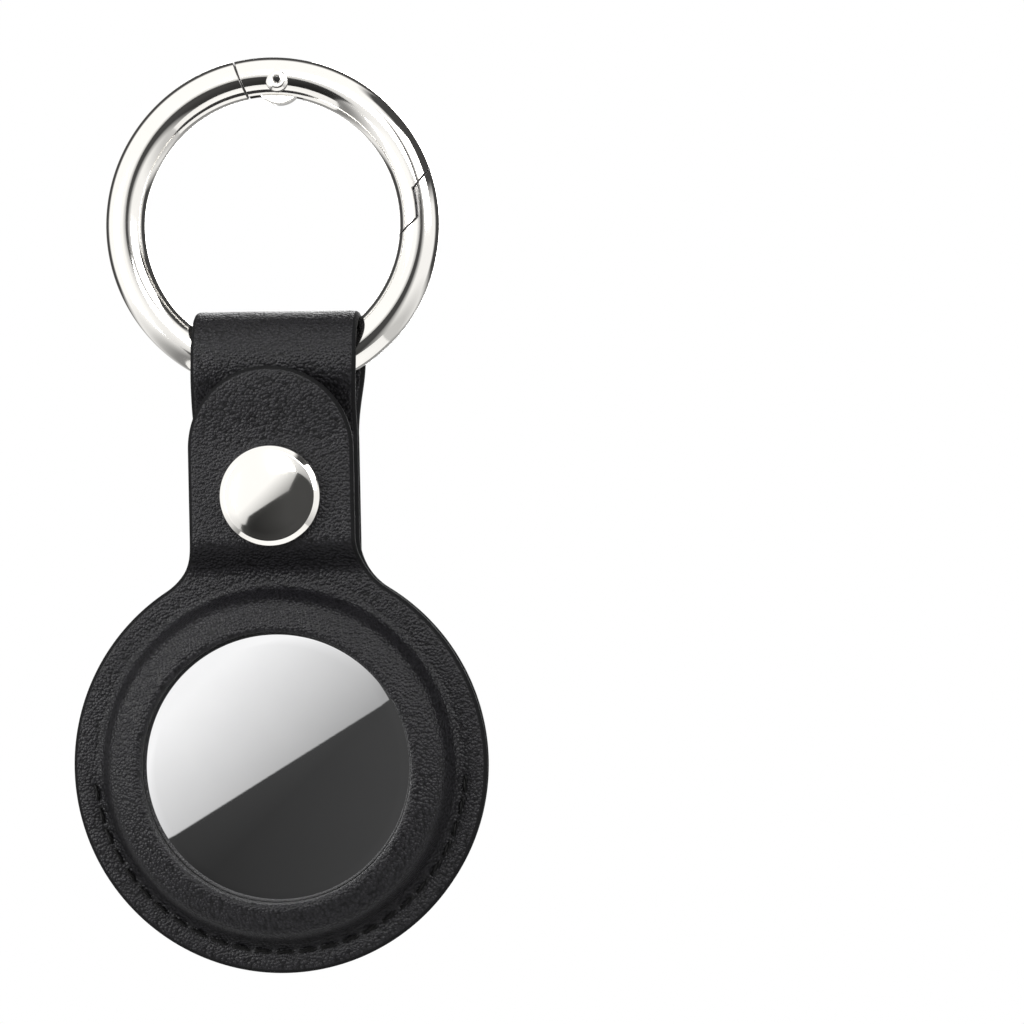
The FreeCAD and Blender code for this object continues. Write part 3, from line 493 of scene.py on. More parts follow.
def ring_bar():
    """The fixed bar, from the hinge joint the long way round to the stepped latch."""
    far = 335.0
    seam_low = 360 + LATCH_IN[0]

    def stops(around, radius):
        start = joint_end(radius, JOINT_GAP / 2)
        row = span(start, far, 150)
        if is_outer(around):
            stop = 360 + latch_end(radius, True, -JOINT_GAP / 2)
            return row + span(far, seam_low, 16) + span(seam_low, stop, 8) + [stop]
        stop = 360 + latch_end(radius, False, -JOINT_GAP / 2)
        return row + span(far, stop, 16) + [stop]

    points, lines = wire_lines(stops)
    faces = []
    count = len(lines)
    for k in range(count):
        (_, low), (_, high) = lines[k], lines[(k + 1) % count]
        rows = min(len(low), len(high))
        for i in range(rows - 1):
            faces.append((low[i], low[i + 1], high[i + 1], high[i]))
    outer, inner = halves(lines)
    for i in range(len(inner[0]) - 1, len(outer[0]) - 1):
        faces.append((outer[-1][i], outer[-1][i + 1], outer[0][i + 1], outer[0][i]))
    inner_end = [line[-1] for line in inner]
    seam = len(inner[0]) - 1
    faces.append([line[0] for _, line in lines])
    faces.append([line[-1] for line in outer][::-1])
    faces.append(([outer[-1][seam]] + inner_end + [outer[0][seam]])[::-1])
    return points, faces


def ring_gate():
    """The gate, from the stepped latch up to the fork that takes the hinge tab."""
    near = 28.0

    def stops(around, radius):
        stop = joint_end(radius, -JOINT_GAP / 2)
        if is_outer(around):
            row = span(latch_end(radius, True, JOINT_GAP / 2), near, 10)
        else:
            start = latch_end(radius, False, JOINT_GAP / 2)
            row = span(start, LATCH_OUT[1], 8) + span(LATCH_OUT[1], near, 10)
        return row + span(near, SLOT_END_ANGLE, 40) + span(SLOT_END_ANGLE, stop, FORK_ROWS - 1) + [stop]

    points, lines = wire_lines(stops)
    faces = []
    count = len(lines)
    edge = SLOT_EDGE + 1e-6

    def in_slot(a, b):
        middle = (a + b) / 2
        return abs(middle) < edge or abs(middle - 180) < edge

    for k in range(count):
        (a, low), (b, high) = lines[k], lines[(k + 1) % count]
        b = b if b > a else b + 360
        rows = min(len(low), len(high))
        for i in range(1, rows):
            if in_slot(a, b) and i < FORK_ROWS:
                continue
            faces.append((low[-i - 1], low[-i], high[-i], high[-i - 1]))
    by_angle = {round(around, 4): line for around, line in lines}
    walls = [(SLOT_EDGE, 180 - SLOT_EDGE), (180 + SLOT_EDGE, -SLOT_EDGE)]
    for first, second in walls:
        one, two = by_angle[round(first, 4)], by_angle[round(second, 4)]
        for i in range(1, FORK_ROWS):
            faces.append((one[-i - 1], two[-i - 1], two[-i], one[-i]))
    outer, inner = halves(lines)
    floor = [line[-FORK_ROWS] for around, line in lines if abs(around) < edge]
    floor += [line[-FORK_ROWS] for around, line in lines if abs(around - 180) < edge]
    faces.append(floor)
    faces.append([line[-1] for around, line in lines if edge - 1e-5 < around < 180 - edge + 1e-5])
    rear = [line[-1] for around, line in lines if 180 + edge - 1e-5 < around]
    rear += [line[-1] for around, line in lines if around < -edge + 1e-5]
    faces.append(rear)
    step_rows = len(inner[0]) - len(outer[0])
    for i in range(step_rows):
        faces.append((inner[0][i], inner[0][i + 1], inner[-1][i + 1], inner[-1][i]))
    faces.append((inner[0][step_rows], outer[-1][0], outer[0][0], inner[-1][step_rows]))
    faces.append([line[0] for line in outer])
    faces.append([line[0] for line in inner])
    return points, faces


def hinge_tab():
    """The flat tab of the fixed bar between the fork's cheeks, with its small bump inside the ring."""
    rim = []
    for k in range(72):
        x, z = polar(TAB_R, 5 * k)
        place = Vector((PIVOT.x + x, PIVOT.z + z))
        most = RING_R + WIRE_R - 0.04
        if place.length > most:
            place *= most / place.length
        rim.append(place)
    rim += [Vector(polar(RING_R + reach, PIVOT_ANGLE + 24)) for reach in (-1.2, 0.8)]
    middle = sum(rim, Vector((0, 0))) / len(rim)
    rim.sort(key=lambda p: math.atan2(p.y - middle.y, p.x - middle.x))
    count = len(rim)
    points = [(p.x, side * TAB_HALF, p.y) for side in (-1, 1) for p in rim]
    faces = [list(range(count)), list(range(count, 2 * count))[::-1]]
    for k in range(count):
        n = (k + 1) % count
        faces.append((k, k + count, n + count, n))
    return points, faces


def fix_normals(piece):
    """Turn every face of a closed mesh outwards."""
    mesh = bmesh.new()
    mesh.from_mesh(piece.data)
    bmesh.ops.recalc_face_normals(mesh, faces=mesh.faces)
    mesh.to_mesh(piece.data)
    mesh.free()


def add_piece(name, form, material, slot, body, *nodes, round_edges=0):
    """A closed piece that rides on a body in place of the nodes it stands for."""
    piece = make_piece(name, *form, material, slot)
    fix_normals(piece)
    if round_edges:
        soften_edges(piece, round_edges)
    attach(piece, body)
    if nodes:
        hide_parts(*nodes)
    return piece


def darken_cuts(piece):
    """Give the wire's cut ends and their rounded edges the dark metal, as painted shade along the joints and
    the latch.
    """
    piece.data.materials.append(SHADE_NICKEL)
    for face in piece.data.polygons:
        middle = face.center / MM
        reach = math.hypot(math.hypot(middle.x, middle.z) - RING_R, middle.y)
        if reach < WIRE_R * 0.96:
            face.material_index = 1
    piece.modifiers["edge_round"].material = 1


bar = add_piece("ring_bar", ring_bar(), NICKEL, "ring_nickel", "ring", "ring_body", round_edges=0.09)
add_piece("ring_tab", hinge_tab(), NICKEL, "ring_nickel", "ring", round_edges=0.12)
arm = add_piece("ring_gate_arm", ring_gate(), NICKEL, "ring_nickel", "gate", "ring_gate", round_edges=0.09)
darken_cuts(bar)
darken_cuts(arm)

HEAD_R = 1.15
HEAD_TOP = WIRE_R + 0.12
head_profile = filleted(
    [
        (0, HEAD_TOP - 0.34, 0),
        (0.22, HEAD_TOP - 0.3, 0.1),
        (0.42, HEAD_TOP, 0.08),
        (0.8, HEAD_TOP, 0.3),
        (HEAD_R, HEAD_TOP - 0.28, 0.15),
        (HEAD_R, 0, 0),
    ]
)
rivet_profile = head_profile + [(p.x, -p.y) for p in head_profile[-2::-1]]
rivet_form = lathe(rivet_profile, PIVOT, True, 72)
rivet = add_piece("gate_rivet", rivet_form, NICKEL, "ring_nickel", "gate", "gate_pin")
# The rim of the rivet's head and a ring round its dimple take the dark metal, painted shade in the crevice
# round the head and in the dimple
rivet.data.materials.append(SHADE_NICKEL)
for face in rivet.data.polygons:
    away = (Vector((face.center.x, face.center.z)) / MM - Vector((PIVOT.x, PIVOT.z))).length
    if away > HEAD_R - 0.07 or 0.16 < away < 0.4:
        face.material_index = 1


# Snap caps

CAP_R = 4.92


def snap_cap(name, seat_y, front, body, node):
    """A shallow dome with a rolled edge and the post that holds it through the leather."""
    line = filleted(
        [
            (1.1, -1.0, 0),
            (1.1, 0, 0),
            (4.75, 0, 0.1),
            (CAP_R, 0.28, 0.15),
            (CAP_R, 0.8, 0.25),
            (4.4, 1.22, 0.2),
            (3.9, 1.27, 0),
        ],
        8,
    )
    dome_r, dome_low, dome_high = line[-1].x, line[-1].y, 1.75
    profile = [(0, -1.0)] + line
    for k in range(1, 13):
        share = 1 - k / 12
        profile.append((dome_r * share, dome_high - (dome_high - dome_low) * share**2))
    form = lathe(profile, (0, seat_y, SNAP_Z), front, 144)
    add_piece(name, form, NICKEL, "snap_nickel", body, node)


snap_cap("front_cap_dome", TONGUE_SNAP_Y - LEATHER, True, "flap", "snap_front_cap")
snap_cap("rear_cap_dome", STRAP_FACE, False, "case", "snap_rear_cap")


# Tag shells


def arc_rows(radius, edge, top, count=14):
    """Rows of a shallow dome, from its edge height to the middle."""
    shares = [1 - k / count for k in range(count + 1)]
    return [(radius * share, top - (top - edge) * share**2) for share in shares]


steel_line = filleted(
    [
        (13.3, 1.55, 0),
        (13.75, 1.55, 0.06),
        (13.75, 2.72, 0.3),
        (13.1, 3.44, 0.25),
        (12.85, 3.48, 0),
    ],
    8,
)
steel_profile = [(0, 3.45), (13.3, 2.5)] + steel_line
steel_profile += arc_rows(12.85, 3.48, 4.0)[1:]
steel_form = lathe(steel_profile, TAG, True, 192)
add_piece("steel_face", steel_form, STEEL, "tag_steel", "tag_lid", "tag_steel_cover")

white_line = filleted(
    [
        (13.9, -2.55, 0),
        (14.42, -2.6, 0.15),
        (15.5, -1.75, 1.4),
        (16.0, -0.4, 0.9),
        (16.0, 0.4, 0.9),
        (15.45, 1.85, 1.4),
        (14.2, 2.75, 1.0),
        (12.5, 3.05, 0),
    ],
    8,
)
white_profile = [(0, 2.92), (11.5, 2.42), (13.25, 1.2), (13.25, -1.25), (13.9, -1.25)]
white_profile += white_line + arc_rows(12.5, 3.05, 4.0)[1:]
shell_form = lathe(white_profile, TAG, False, 192)
add_piece("white_shell_back", shell_form, WHITE, "tag_white", "tag", "tag_white_cover")


# Leather sheets

SEAM_DEPTH = 0.2
PANEL_STEPS = 34
OUTLINE_STEP = 0.4
WINDOW_SIDES = 264
MESH_PITCH = 0.5
ROW_PITCH = MESH_PITCH * 0.866

# The edge distance given to points that are well inside the sheet
INSIDE = 9.0


def even(line, count):
    """Points at equal lengths along a line."""
    lengths = [0]
    for a, b in zip(line, line[1:]):
        lengths.append(lengths[-1] + (b - a).length)
    rows, k = [], 0
    for i in range(count + 1):
        target = lengths[-1] * i / count
        while k < len(line) - 2 and lengths[k + 1] < target:
            k += 1
        step = lengths[k + 1] - lengths[k]
        share = (target - lengths[k]) / step if step else 0
        rows.append(line[k].lerp(line[k + 1], share))
    return rows


def panel_profile():
    """Rows across a panel from the window out to the flat rim.

    Each row is (plan radius, outer radius, outer height, inner radius, inner height).
    """
    outer = filleted(
        [
            (APERTURE_R, 3.75, 0),
            (APERTURE_R, 4.82, 0.4),
            (13.95, 4.84, 0.5),
            (16.35, 4.15, 1.5),
            (17.5, LINING + LEATHER, 1.0),
            (RIDGE_FOOT_R, LINING + LEATHER, 0),
        ],
        12,
    )
    inner = filleted(
        [
            (APERTURE_R, 3.68, 0),
            (13.25, 3.66, 0),
            (15.4, 3.2, 0.7),
            (16.75, LINING, 0.6),
            (RIDGE_FOOT_R, LINING, 0),
        ],
        12,
    )
    rows = []
    for i, (o, n) in enumerate(zip(even(outer, PANEL_STEPS), even(inner, PANEL_STEPS))):
        plan = APERTURE_R + (RIDGE_FOOT_R - APERTURE_R) * i / PANEL_STEPS
        rows.append((plan, o.x, o.y, n.x, n.y))
    return rows


PANEL = panel_profile()


def panel_at(plan):
    """Outer and inner (radius, height) at a plan radius, by straight steps between the rows."""
    if plan >= PANEL[-1][0]:
        return plan, LINING + LEATHER, plan, LINING
    step = (PANEL[-1][0] - APERTURE_R) / (len(PANEL) - 1)
    k = min(max(int((plan - APERTURE_R) / step), 0), len(PANEL) - 2)
    share = (plan - PANEL[k][0]) / step
    return tuple(a + (b - a) * share for a, b in zip(PANEL[k][1:], PANEL[k + 1][1:]))


def groove(distance, width=0.32):
    """How far thread pulls the leather down, at a distance from the line of a seam."""
    return SEAM_DEPTH * math.exp(-((distance / width) ** 2))


def seam_window(x, z):
    """1 along the lower half of the disc, where the seam runs, and 0 above it."""
    angle = math.degrees(math.atan2(z - DISC_Z, x))
    if angle >= 0:
        return 0.0
    return smooth_share((SEAM_TO + 2 - angle) / 4) * smooth_share((angle - (SEAM_FROM - 2)) / 4)


def disc_outline(top_s, corner):
    """The outline of disc, neck and strap laid flat, anticlockwise from the right of the neck."""
    fillet_z = DISC_Z + math.sqrt((DISC_R + NECK_FILLET) ** 2 - (STRAP_HALF + NECK_FILLET) ** 2)
    share = DISC_R / (DISC_R + NECK_FILLET)
    touch = Vector(((STRAP_HALF + NECK_FILLET) * share, DISC_Z + (fillet_z - DISC_Z) * share))
    centre = Vector((STRAP_HALF + NECK_FILLET, fillet_z))
    half = []
    start = math.atan2(touch.y - DISC_Z, touch.x)
    count = round((start + math.pi / 2) * DISC_R / OUTLINE_STEP)
    for k in range(count):
        angle = -math.pi / 2 + (start + math.pi / 2) * k / count
        half.append(Vector((DISC_R * math.cos(angle), DISC_Z + DISC_R * math.sin(angle))))
    first = math.atan2(touch.y - centre.y, touch.x - centre.x)
    first = first if first > 0 else first + 2 * math.pi
    count = round(abs(first - math.pi) * NECK_FILLET / OUTLINE_STEP)
    for k in range(count):
        angle = first + (math.pi - first) * k / count
        half.append(centre + NECK_FILLET * unit(angle))
    shoulder = top_s - corner
    count = round((shoulder - fillet_z) / OUTLINE_STEP)
    for k in range(count):
        half.append(Vector((STRAP_HALF, fillet_z + (shoulder - fillet_z) * k / count)))
    count = max(8, round(corner * math.pi / 2 / OUTLINE_STEP * 1.5))
    for k in range(count + 1):
        angle = math.pi / 2 * k / count
        x = STRAP_HALF - corner + corner * math.cos(angle)
        half.append(Vector((x, shoulder + corner * math.sin(angle))))
    if corner < STRAP_HALF - OUTLINE_STEP:
        flat = STRAP_HALF - corner
        count = round(flat / OUTLINE_STEP)
        half += [Vector((flat * (1 - k / count), top_s)) for k in range(1, count + 1)]
    mirrored = [Vector((-p.x, p.y)) for p in half[1:-1]]
    return half + mirrored[::-1]


# Distances in from a cut edge at which the sheet has a row of points
EDGE_STEPS = (0.0, 0.07, 0.18, 0.34, 0.54, 0.75)
EDGE_THICKNESS = 0.4
PAINT_WIDTH = 0.4


def edge_share(distance):
    """How much of the leather's thickness is there, at a distance from a cut and rubbed edge."""
    share = min(distance / EDGE_STEPS[-1], 1.0)
    return EDGE_THICKNESS + (1 - EDGE_THICKNESS) * math.sqrt(1 - (1 - share) ** 2)


def inward(loop):
    """Unit vectors into the outline at each of its points."""
    result = []
    count = len(loop)
    for k in range(count):
        along = loop[(k + 1) % count] - loop[k - 1]
        result.append(Vector((-along.y, along.x)).normalized())
    return result


def crossings(loop, height):
    """Where the outline crosses a level line, from left to right."""
    found = []
    for a, b in zip(loop, loop[1:] + loop[:1]):
        if (a.y > height) != (b.y > height):
            found.append((b.x - a.x) * (height - a.y) / (b.y - a.y) + a.x)
    return sorted(found)


def flat_mesh(outline, top_s):
    """A flat mesh of the outline with the window cut out: points, triangles, edge distances and rims."""
    points, edges, distances = [], [], []

    def add_loop(loop, distance):
        start = len(points)
        points.extend(loop)
        distances.extend([distance] * len(loop))
        for k in range(len(loop)):
            edges.append((start + k, start + (k + 1) % len(loop)))

    directions = inward(outline)
    for step in EDGE_STEPS:
        add_loop([p + d * step for p, d in zip(outline, directions)], step)
    window_start = len(points)
    centre = Vector((0, DISC_Z))
    for row in PANEL:
        turns = [360 * (k + 0.5) / WINDOW_SIDES for k in range(WINDOW_SIDES)]
        add_loop([centre + Vector(polar(row[0], turn)) for turn in turns], INSIDE)
    taken = KDTree(len(points))
    for k, p in enumerate(points):
        taken.insert((p.x, p.y, 0), k)
    taken.balance()
    odd = False
    s = DISC_Z - DISC_R + 0.4
    while s < top_s:
        ends = crossings(outline, s)
        for left, right in zip(ends[::2], ends[1::2]):
            x = math.ceil(left / MESH_PITCH) * MESH_PITCH + (MESH_PITCH / 2 if odd else 0)
            while x < right:
                p = Vector((x, s))
                beyond = (p - centre).length > PANEL[-1][0] + 0.2
                if beyond and taken.find((x, s, 0))[2] > 0.3:
                    points.append(p)
                    distances.append(INSIDE)
                x += MESH_PITCH
        s += ROW_PITCH
        odd = not odd
    flat, _, triangles, sources, _, _ = delaunay_2d_cdt(points, edges, [], 1, 1e-6)
    kept = []
    for tri in triangles:
        middle = (flat[tri[0]] + flat[tri[1]] + flat[tri[2]]) / 3
        if (middle - centre).length > APERTURE_R - 0.0005:
            kept.append(tri)
    away = [distances[s[0]] for s in sources]
    index = {s[0]: k for k, s in enumerate(sources)}
    rims = [
        [index[k] for k in range(len(outline))],
        [index[window_start + k] for k in range(WINDOW_SIDES)][::-1],
    ]
    return flat, kept, away, rims


def sheet_form(outline, top_s, shape):
    """A closed sheet of leather: shape(x, s) gives the points of both faces over a place on the flat."""
    flat, triangles, away, rims = flat_mesh(outline, top_s)
    tops, bottoms = [], []
    for place, distance in zip(flat, away):
        top, bottom = shape(place.x, place.y)
        middle = (top + bottom) / 2
        share = edge_share(distance)
        tops.append(middle + (top - middle) * share)
        bottoms.append(middle + (bottom - middle) * share)
    count = len(flat)
    faces = [tuple(tri) for tri in triangles]
    faces += [tuple(k + count for k in tri[::-1]) for tri in triangles]
    for rim in rims:
        for a, b in zip(rim, rim[1:] + rim[:1]):
            faces.append((b, a, a + count, b + count))
    painted = [k for k, face in enumerate(faces) if max(away[v % count] for v in face) < PAINT_WIDTH]
    return (tops + bottoms, faces), painted


def paint_edge(piece, painted):
    """Give the listed faces the paint of a cut edge."""
    piece.data.materials.append(EDGE_PAINT)
    for k in painted:
        piece.data.polygons[k].material_index = 1


def disc_faces(x, z, sign):
    """Both faces of a panel over a place on the disc. Sign is 1 on the back and -1 on the front."""
    plan = math.hypot(x, z - DISC_Z)
    outer_r, outer, inner_r, inner = panel_at(plan)
    outer -= groove(plan - SEAM_R) * seam_window(x, z)
    ratio = 1 / plan
    places = []
    for radius, height in ((outer_r, outer), (inner_r, inner)):
        rise = (z - DISC_Z) * radius * ratio
        places.append(Vector((x * radius * ratio, TAG.y + sign * height, DISC_Z + rise)))
    return places


RISE_START = HINGE_Z + 0.37
RISE_END = RISE_START + 3.6
LEAN_START = SNAP_Z + 4.2
FRONT_INNER = TAG.y - LINING


def tongue_depth(z):
    """How far the tongue's inner face stands in front of the flat leather at its root."""
    rise = smooth_share((z - RISE_START) / (RISE_END - RISE_START)) * (TONGUE_SNAP_Y - FRONT_INNER)
    lean = smooth_share((z - LEAN_START) / (TONGUE_TOP_Z - LEAN_START)) * (TONGUE_TOP_Y - TONGUE_SNAP_Y)
    return rise + lean


def front_shape(x, z):
    """Both faces of the front leather: the disc, then the tongue that stands in front of the strap."""
    top, bottom = disc_faces(x, z, -1)
    shift = Vector((0, tongue_depth(z), 0))
    return top + shift, bottom + shift


LOOP_STEPS = 60
SIDE_STEPS = 40
FLAP_STEPS = 60
NECK_JOIN_Z = -31.0
SMOOTHING_ROUNDS = 12


def strap_path():
    """Dense (y, z) points along the middle of the strap, from the neck over the ring and down the back."""
    middle = STRAP_FACE - LEATHER / 2
    loop_r = TUNNEL_R + LEATHER / 2
    foot = Vector((middle, SEAM_Z + 0.45))
    centre = Vector((0, TUNNEL_Z))
    to_centre = centre - foot
    lean = math.asin(loop_r / to_centre.length)
    base = math.atan2(to_centre.y, to_centre.x) - lean
    reach = math.sqrt(to_centre.length**2 - loop_r**2)
    touch = foot + reach * unit(base)
    start = math.atan2(touch.y - centre.y, touch.x - centre.x)
    right = []
    for k in range(LOOP_STEPS + 1):
        angle = math.pi / 2 + (start - math.pi / 2) * k / LOOP_STEPS
        right.append(centre + loop_r * unit(angle))
    right += [touch.lerp(foot, k / SIDE_STEPS) for k in range(1, SIDE_STEPS + 1)]
    for k in range(1, FLAP_STEPS + 1):
        right.append(Vector((middle, foot.y + (FLAP_END_Z - foot.y) * k / FLAP_STEPS)))
    left = [Vector((-p.x, p.y)) for p in right]
    left_end = next(k for k, p in enumerate(left) if p.y < NECK_JOIN_Z)
    line = left[:left_end][::-1] + right[1:]
    for _ in range(SMOOTHING_ROUNDS):
        line[1:-1] = [(a + b * 2 + c) / 4 for a, b, c in zip(line, line[1:], line[2:])]
    return line


PATH = strap_path()
PATH_START = PATH[0].y
PATH_LENGTHS = [0.0]
for first, second in zip(PATH, PATH[1:]):
    PATH_LENGTHS.append(PATH_LENGTHS[-1] + (second - first).length)
STRAP_TOP_S = PATH_START + PATH_LENGTHS[-1]


def path_direction(k):
    """The way the strap runs at a point of its path."""
    return (PATH[min(k + 1, len(PATH) - 1)] - PATH[max(k - 1, 0)]).normalized()


def strap_at(s):
    """The strap's middle and its outward direction at a length along it."""
    target = min(max(s - PATH_START, 0), PATH_LENGTHS[-1])
    low, high = 0, len(PATH) - 2
    while low < high:
        centre = (low + high + 1) // 2
        if PATH_LENGTHS[centre] <= target:
            low = centre
        else:
            high = centre - 1
    share = (target - PATH_LENGTHS[low]) / (PATH_LENGTHS[low + 1] - PATH_LENGTHS[low])
    direction = path_direction(low).lerp(path_direction(low + 1), share).normalized()
    return PATH[low].lerp(PATH[low + 1], share), Vector((-direction.y, direction.x))


LOOP_SHIFT = 0.4
LOOP_DROP = 0.05
LOOP_TILT = 0.012


def loop_set(x, place):
    """The loop hangs a little to one side and dips a little there, as the ring pulls it."""
    share = smooth_share((place.y - SEAM_Z - 1.0) / 7.0)
    return Vector((x + LOOP_SHIFT * share, place.x, place.y - (LOOP_DROP + LOOP_TILT * x) * share))


def rear_shape(x, s):
    """Both faces of the rear leather: the disc, then the neck, the loop over the ring and the flap."""
    if s < PATH_START:
        return disc_faces(x, s, 1)
    middle, out = strap_at(s)
    pull = groove(middle.y - SEAM_Z, 0.35)
    within = middle - out * (LEATHER / 2)
    outside = middle + out * (LEATHER / 2 - pull)
    return loop_set(x, within), loop_set(x, outside)


front_form, front_edge = sheet_form(disc_outline(TONGUE_TOP_Z, STRAP_HALF), TONGUE_TOP_Z, front_shape)
front = make_piece("front_leather", *front_form, BLACK_LEATHER, "leather_black")
fix_normals(front)
paint_edge(front, front_edge)
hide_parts("front_panel", "front_tongue")
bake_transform(front)

rear_form, rear_edge = sheet_form(disc_outline(STRAP_TOP_S, FLAP_CORNER), STRAP_TOP_S, rear_shape)
rear = add_piece("rear_leather", rear_form, BLACK_LEATHER, "leather_black", "case", "rear_panel")
paint_edge(rear, rear_edge)


# Linings

LINING_ROWS = (
    (13.2, 3.4, 13.2, 3.62),
    (14.2, 3.16, 14.3, 3.38),
    (15.2, 2.88, 15.42, 3.1),
    (15.9, 1.4, 16.1, 1.62),
    (16.5, 0.02, 16.72, 0.24),
    (18.0, 0.02, 18.0, 0.24),
    (20.0, 0.02, 20.0, 0.24),
)
LINING_TOP = 17.4


def lining_form(sign, clipped):
    """A thin sheet inside a panel. The front one stops below the tongue's fold."""
    around = 180
    points, faces = [], []
    for pair in ((0, 1), (2, 3)):
        for row in LINING_ROWS:
            for k in range(around):
                x, z = polar(row[pair[0]], 360 * k / around)
                if clipped and z > LINING_TOP:
                    z = LINING_TOP
                points.append((x, TAG.y + sign * row[pair[1]], DISC_Z + z))
    count = len(LINING_ROWS)

    def at(side, row, k):
        return (side * count + row) * around + k % around

    for k in range(around):
        for row in range(count - 1):
            for side in (0, 1):
                low = at(side, row, k), at(side, row, k + 1)
                high = at(side, row + 1, k + 1), at(side, row + 1, k)
                faces.append(low + high)
        for row in (0, count - 1):
            faces.append((at(0, row, k), at(0, row, k + 1), at(1, row, k + 1), at(1, row, k)))
    return points, faces


add_piece("rear_lining_sheet", lining_form(1, False), BLACK_FABRIC, "lining_black", "case", "rear_lining")
add_piece("front_lining_sheet", lining_form(-1, True), BLACK_FABRIC, "lining_black", "case", "front_lining")


# Thread

THREAD_R = 0.22
STRAND_R_SHARE = 0.6
STRAND_OUT_SHARE = 0.45
STRAND_SIDES = 7
HALF_TURNS = 1.6
STITCH_ROWS = 12
STITCH_DIP = 0.32
STITCH_GAP = 0.16
THREAD_SINK = 0.1
STRAP_SEAM_HALF = 7.2


def stitch_form(rows, points, faces):
    """Two strands twisted round each other along rows of (place, along, up)."""
    sides = STRAND_SIDES
    for strand in (0, 1):
        start = len(points)
        last = len(rows) - 1
        for i, (place, along, up) in enumerate(rows):
            across = along.cross(up).normalized()
            turn = math.pi * (strand + HALF_TURNS * i / last)
            centre = place + (across * math.cos(turn) + up * math.sin(turn)) * THREAD_R * STRAND_OUT_SHARE
            for k in range(sides):
                angle = 2 * math.pi * k / sides
                side = across * math.cos(angle) + up * math.sin(angle)
                points.append(centre + side * THREAD_R * STRAND_R_SHARE)
        for i in range(last):
            for k in range(sides):
                n = (k + 1) % sides
                a, b = start + i * sides, start + (i + 1) * sides
                faces.append((a + k, a + n, b + n, b + k))
        faces.append(tuple(start + k for k in range(sides)))
        faces.append(tuple(start + last * sides + k for k in range(sides))[::-1])


def stitch_rows(place_at, sign, low, high):
    """Rows along one stitch, which goes down into the leather at both of its ends."""
    up = Vector((0, sign, 0))
    places = []
    for i in range(STITCH_ROWS + 1):
        share = i / STITCH_ROWS
        sink = STITCH_DIP * (2 * share - 1) ** 6
        places.append(place_at(sign, low + (high - low) * share) - up * sink)
    rows = []
    for i, place in enumerate(places):
        along = (places[min(i + 1, STITCH_ROWS)] - places[max(i - 1, 0)]).normalized()
        rows.append((place, along, up))
    return rows


def stitches(place_at, first, last, count):
    """Separate stitches along a seam on the front, sign -1, and on the back, sign 1."""
    points, faces = [], []
    pitch = (last - first) / count
    for sign in (-1, 1):
        for k in range(count):
            low = first + pitch * (k + STITCH_GAP / 2)
            rows = stitch_rows(place_at, sign, low, low + pitch * (1 - STITCH_GAP))
            stitch_form(rows, points, faces)
    return points, faces


def seam_place(sign, angle):
    x, z = polar(SEAM_R, angle)
    return Vector((x, TAG.y + sign * (LINING + LEATHER - THREAD_SINK), DISC_Z + z))


def strap_place(sign, x):
    return Vector((x, sign * (STRAP_FACE - THREAD_SINK), SEAM_Z))


seam_form = stitches(seam_place, SEAM_FROM, SEAM_TO, 25)
strap_form = stitches(strap_place, -STRAP_SEAM_HALF, STRAP_SEAM_HALF, 6)
add_piece("seam_stitches", seam_form, BLACK_THREAD, "thread_black", "case", "seam_thread")
add_piece("strap_stitches", strap_form, BLACK_THREAD, "thread_black", "case", "strap_thread")


# Floor, light and camera

ROOM_LIGHT = 0.25
DARK_CARD = 0.06

# The low card's slanted edge: its slope and one direction on it, as (x, z)
EDGE_SLOPE = (0.515, 0.857)
EDGE_POINT = (-0.156, -0.097)
EDGE_BLUR = 0.0012


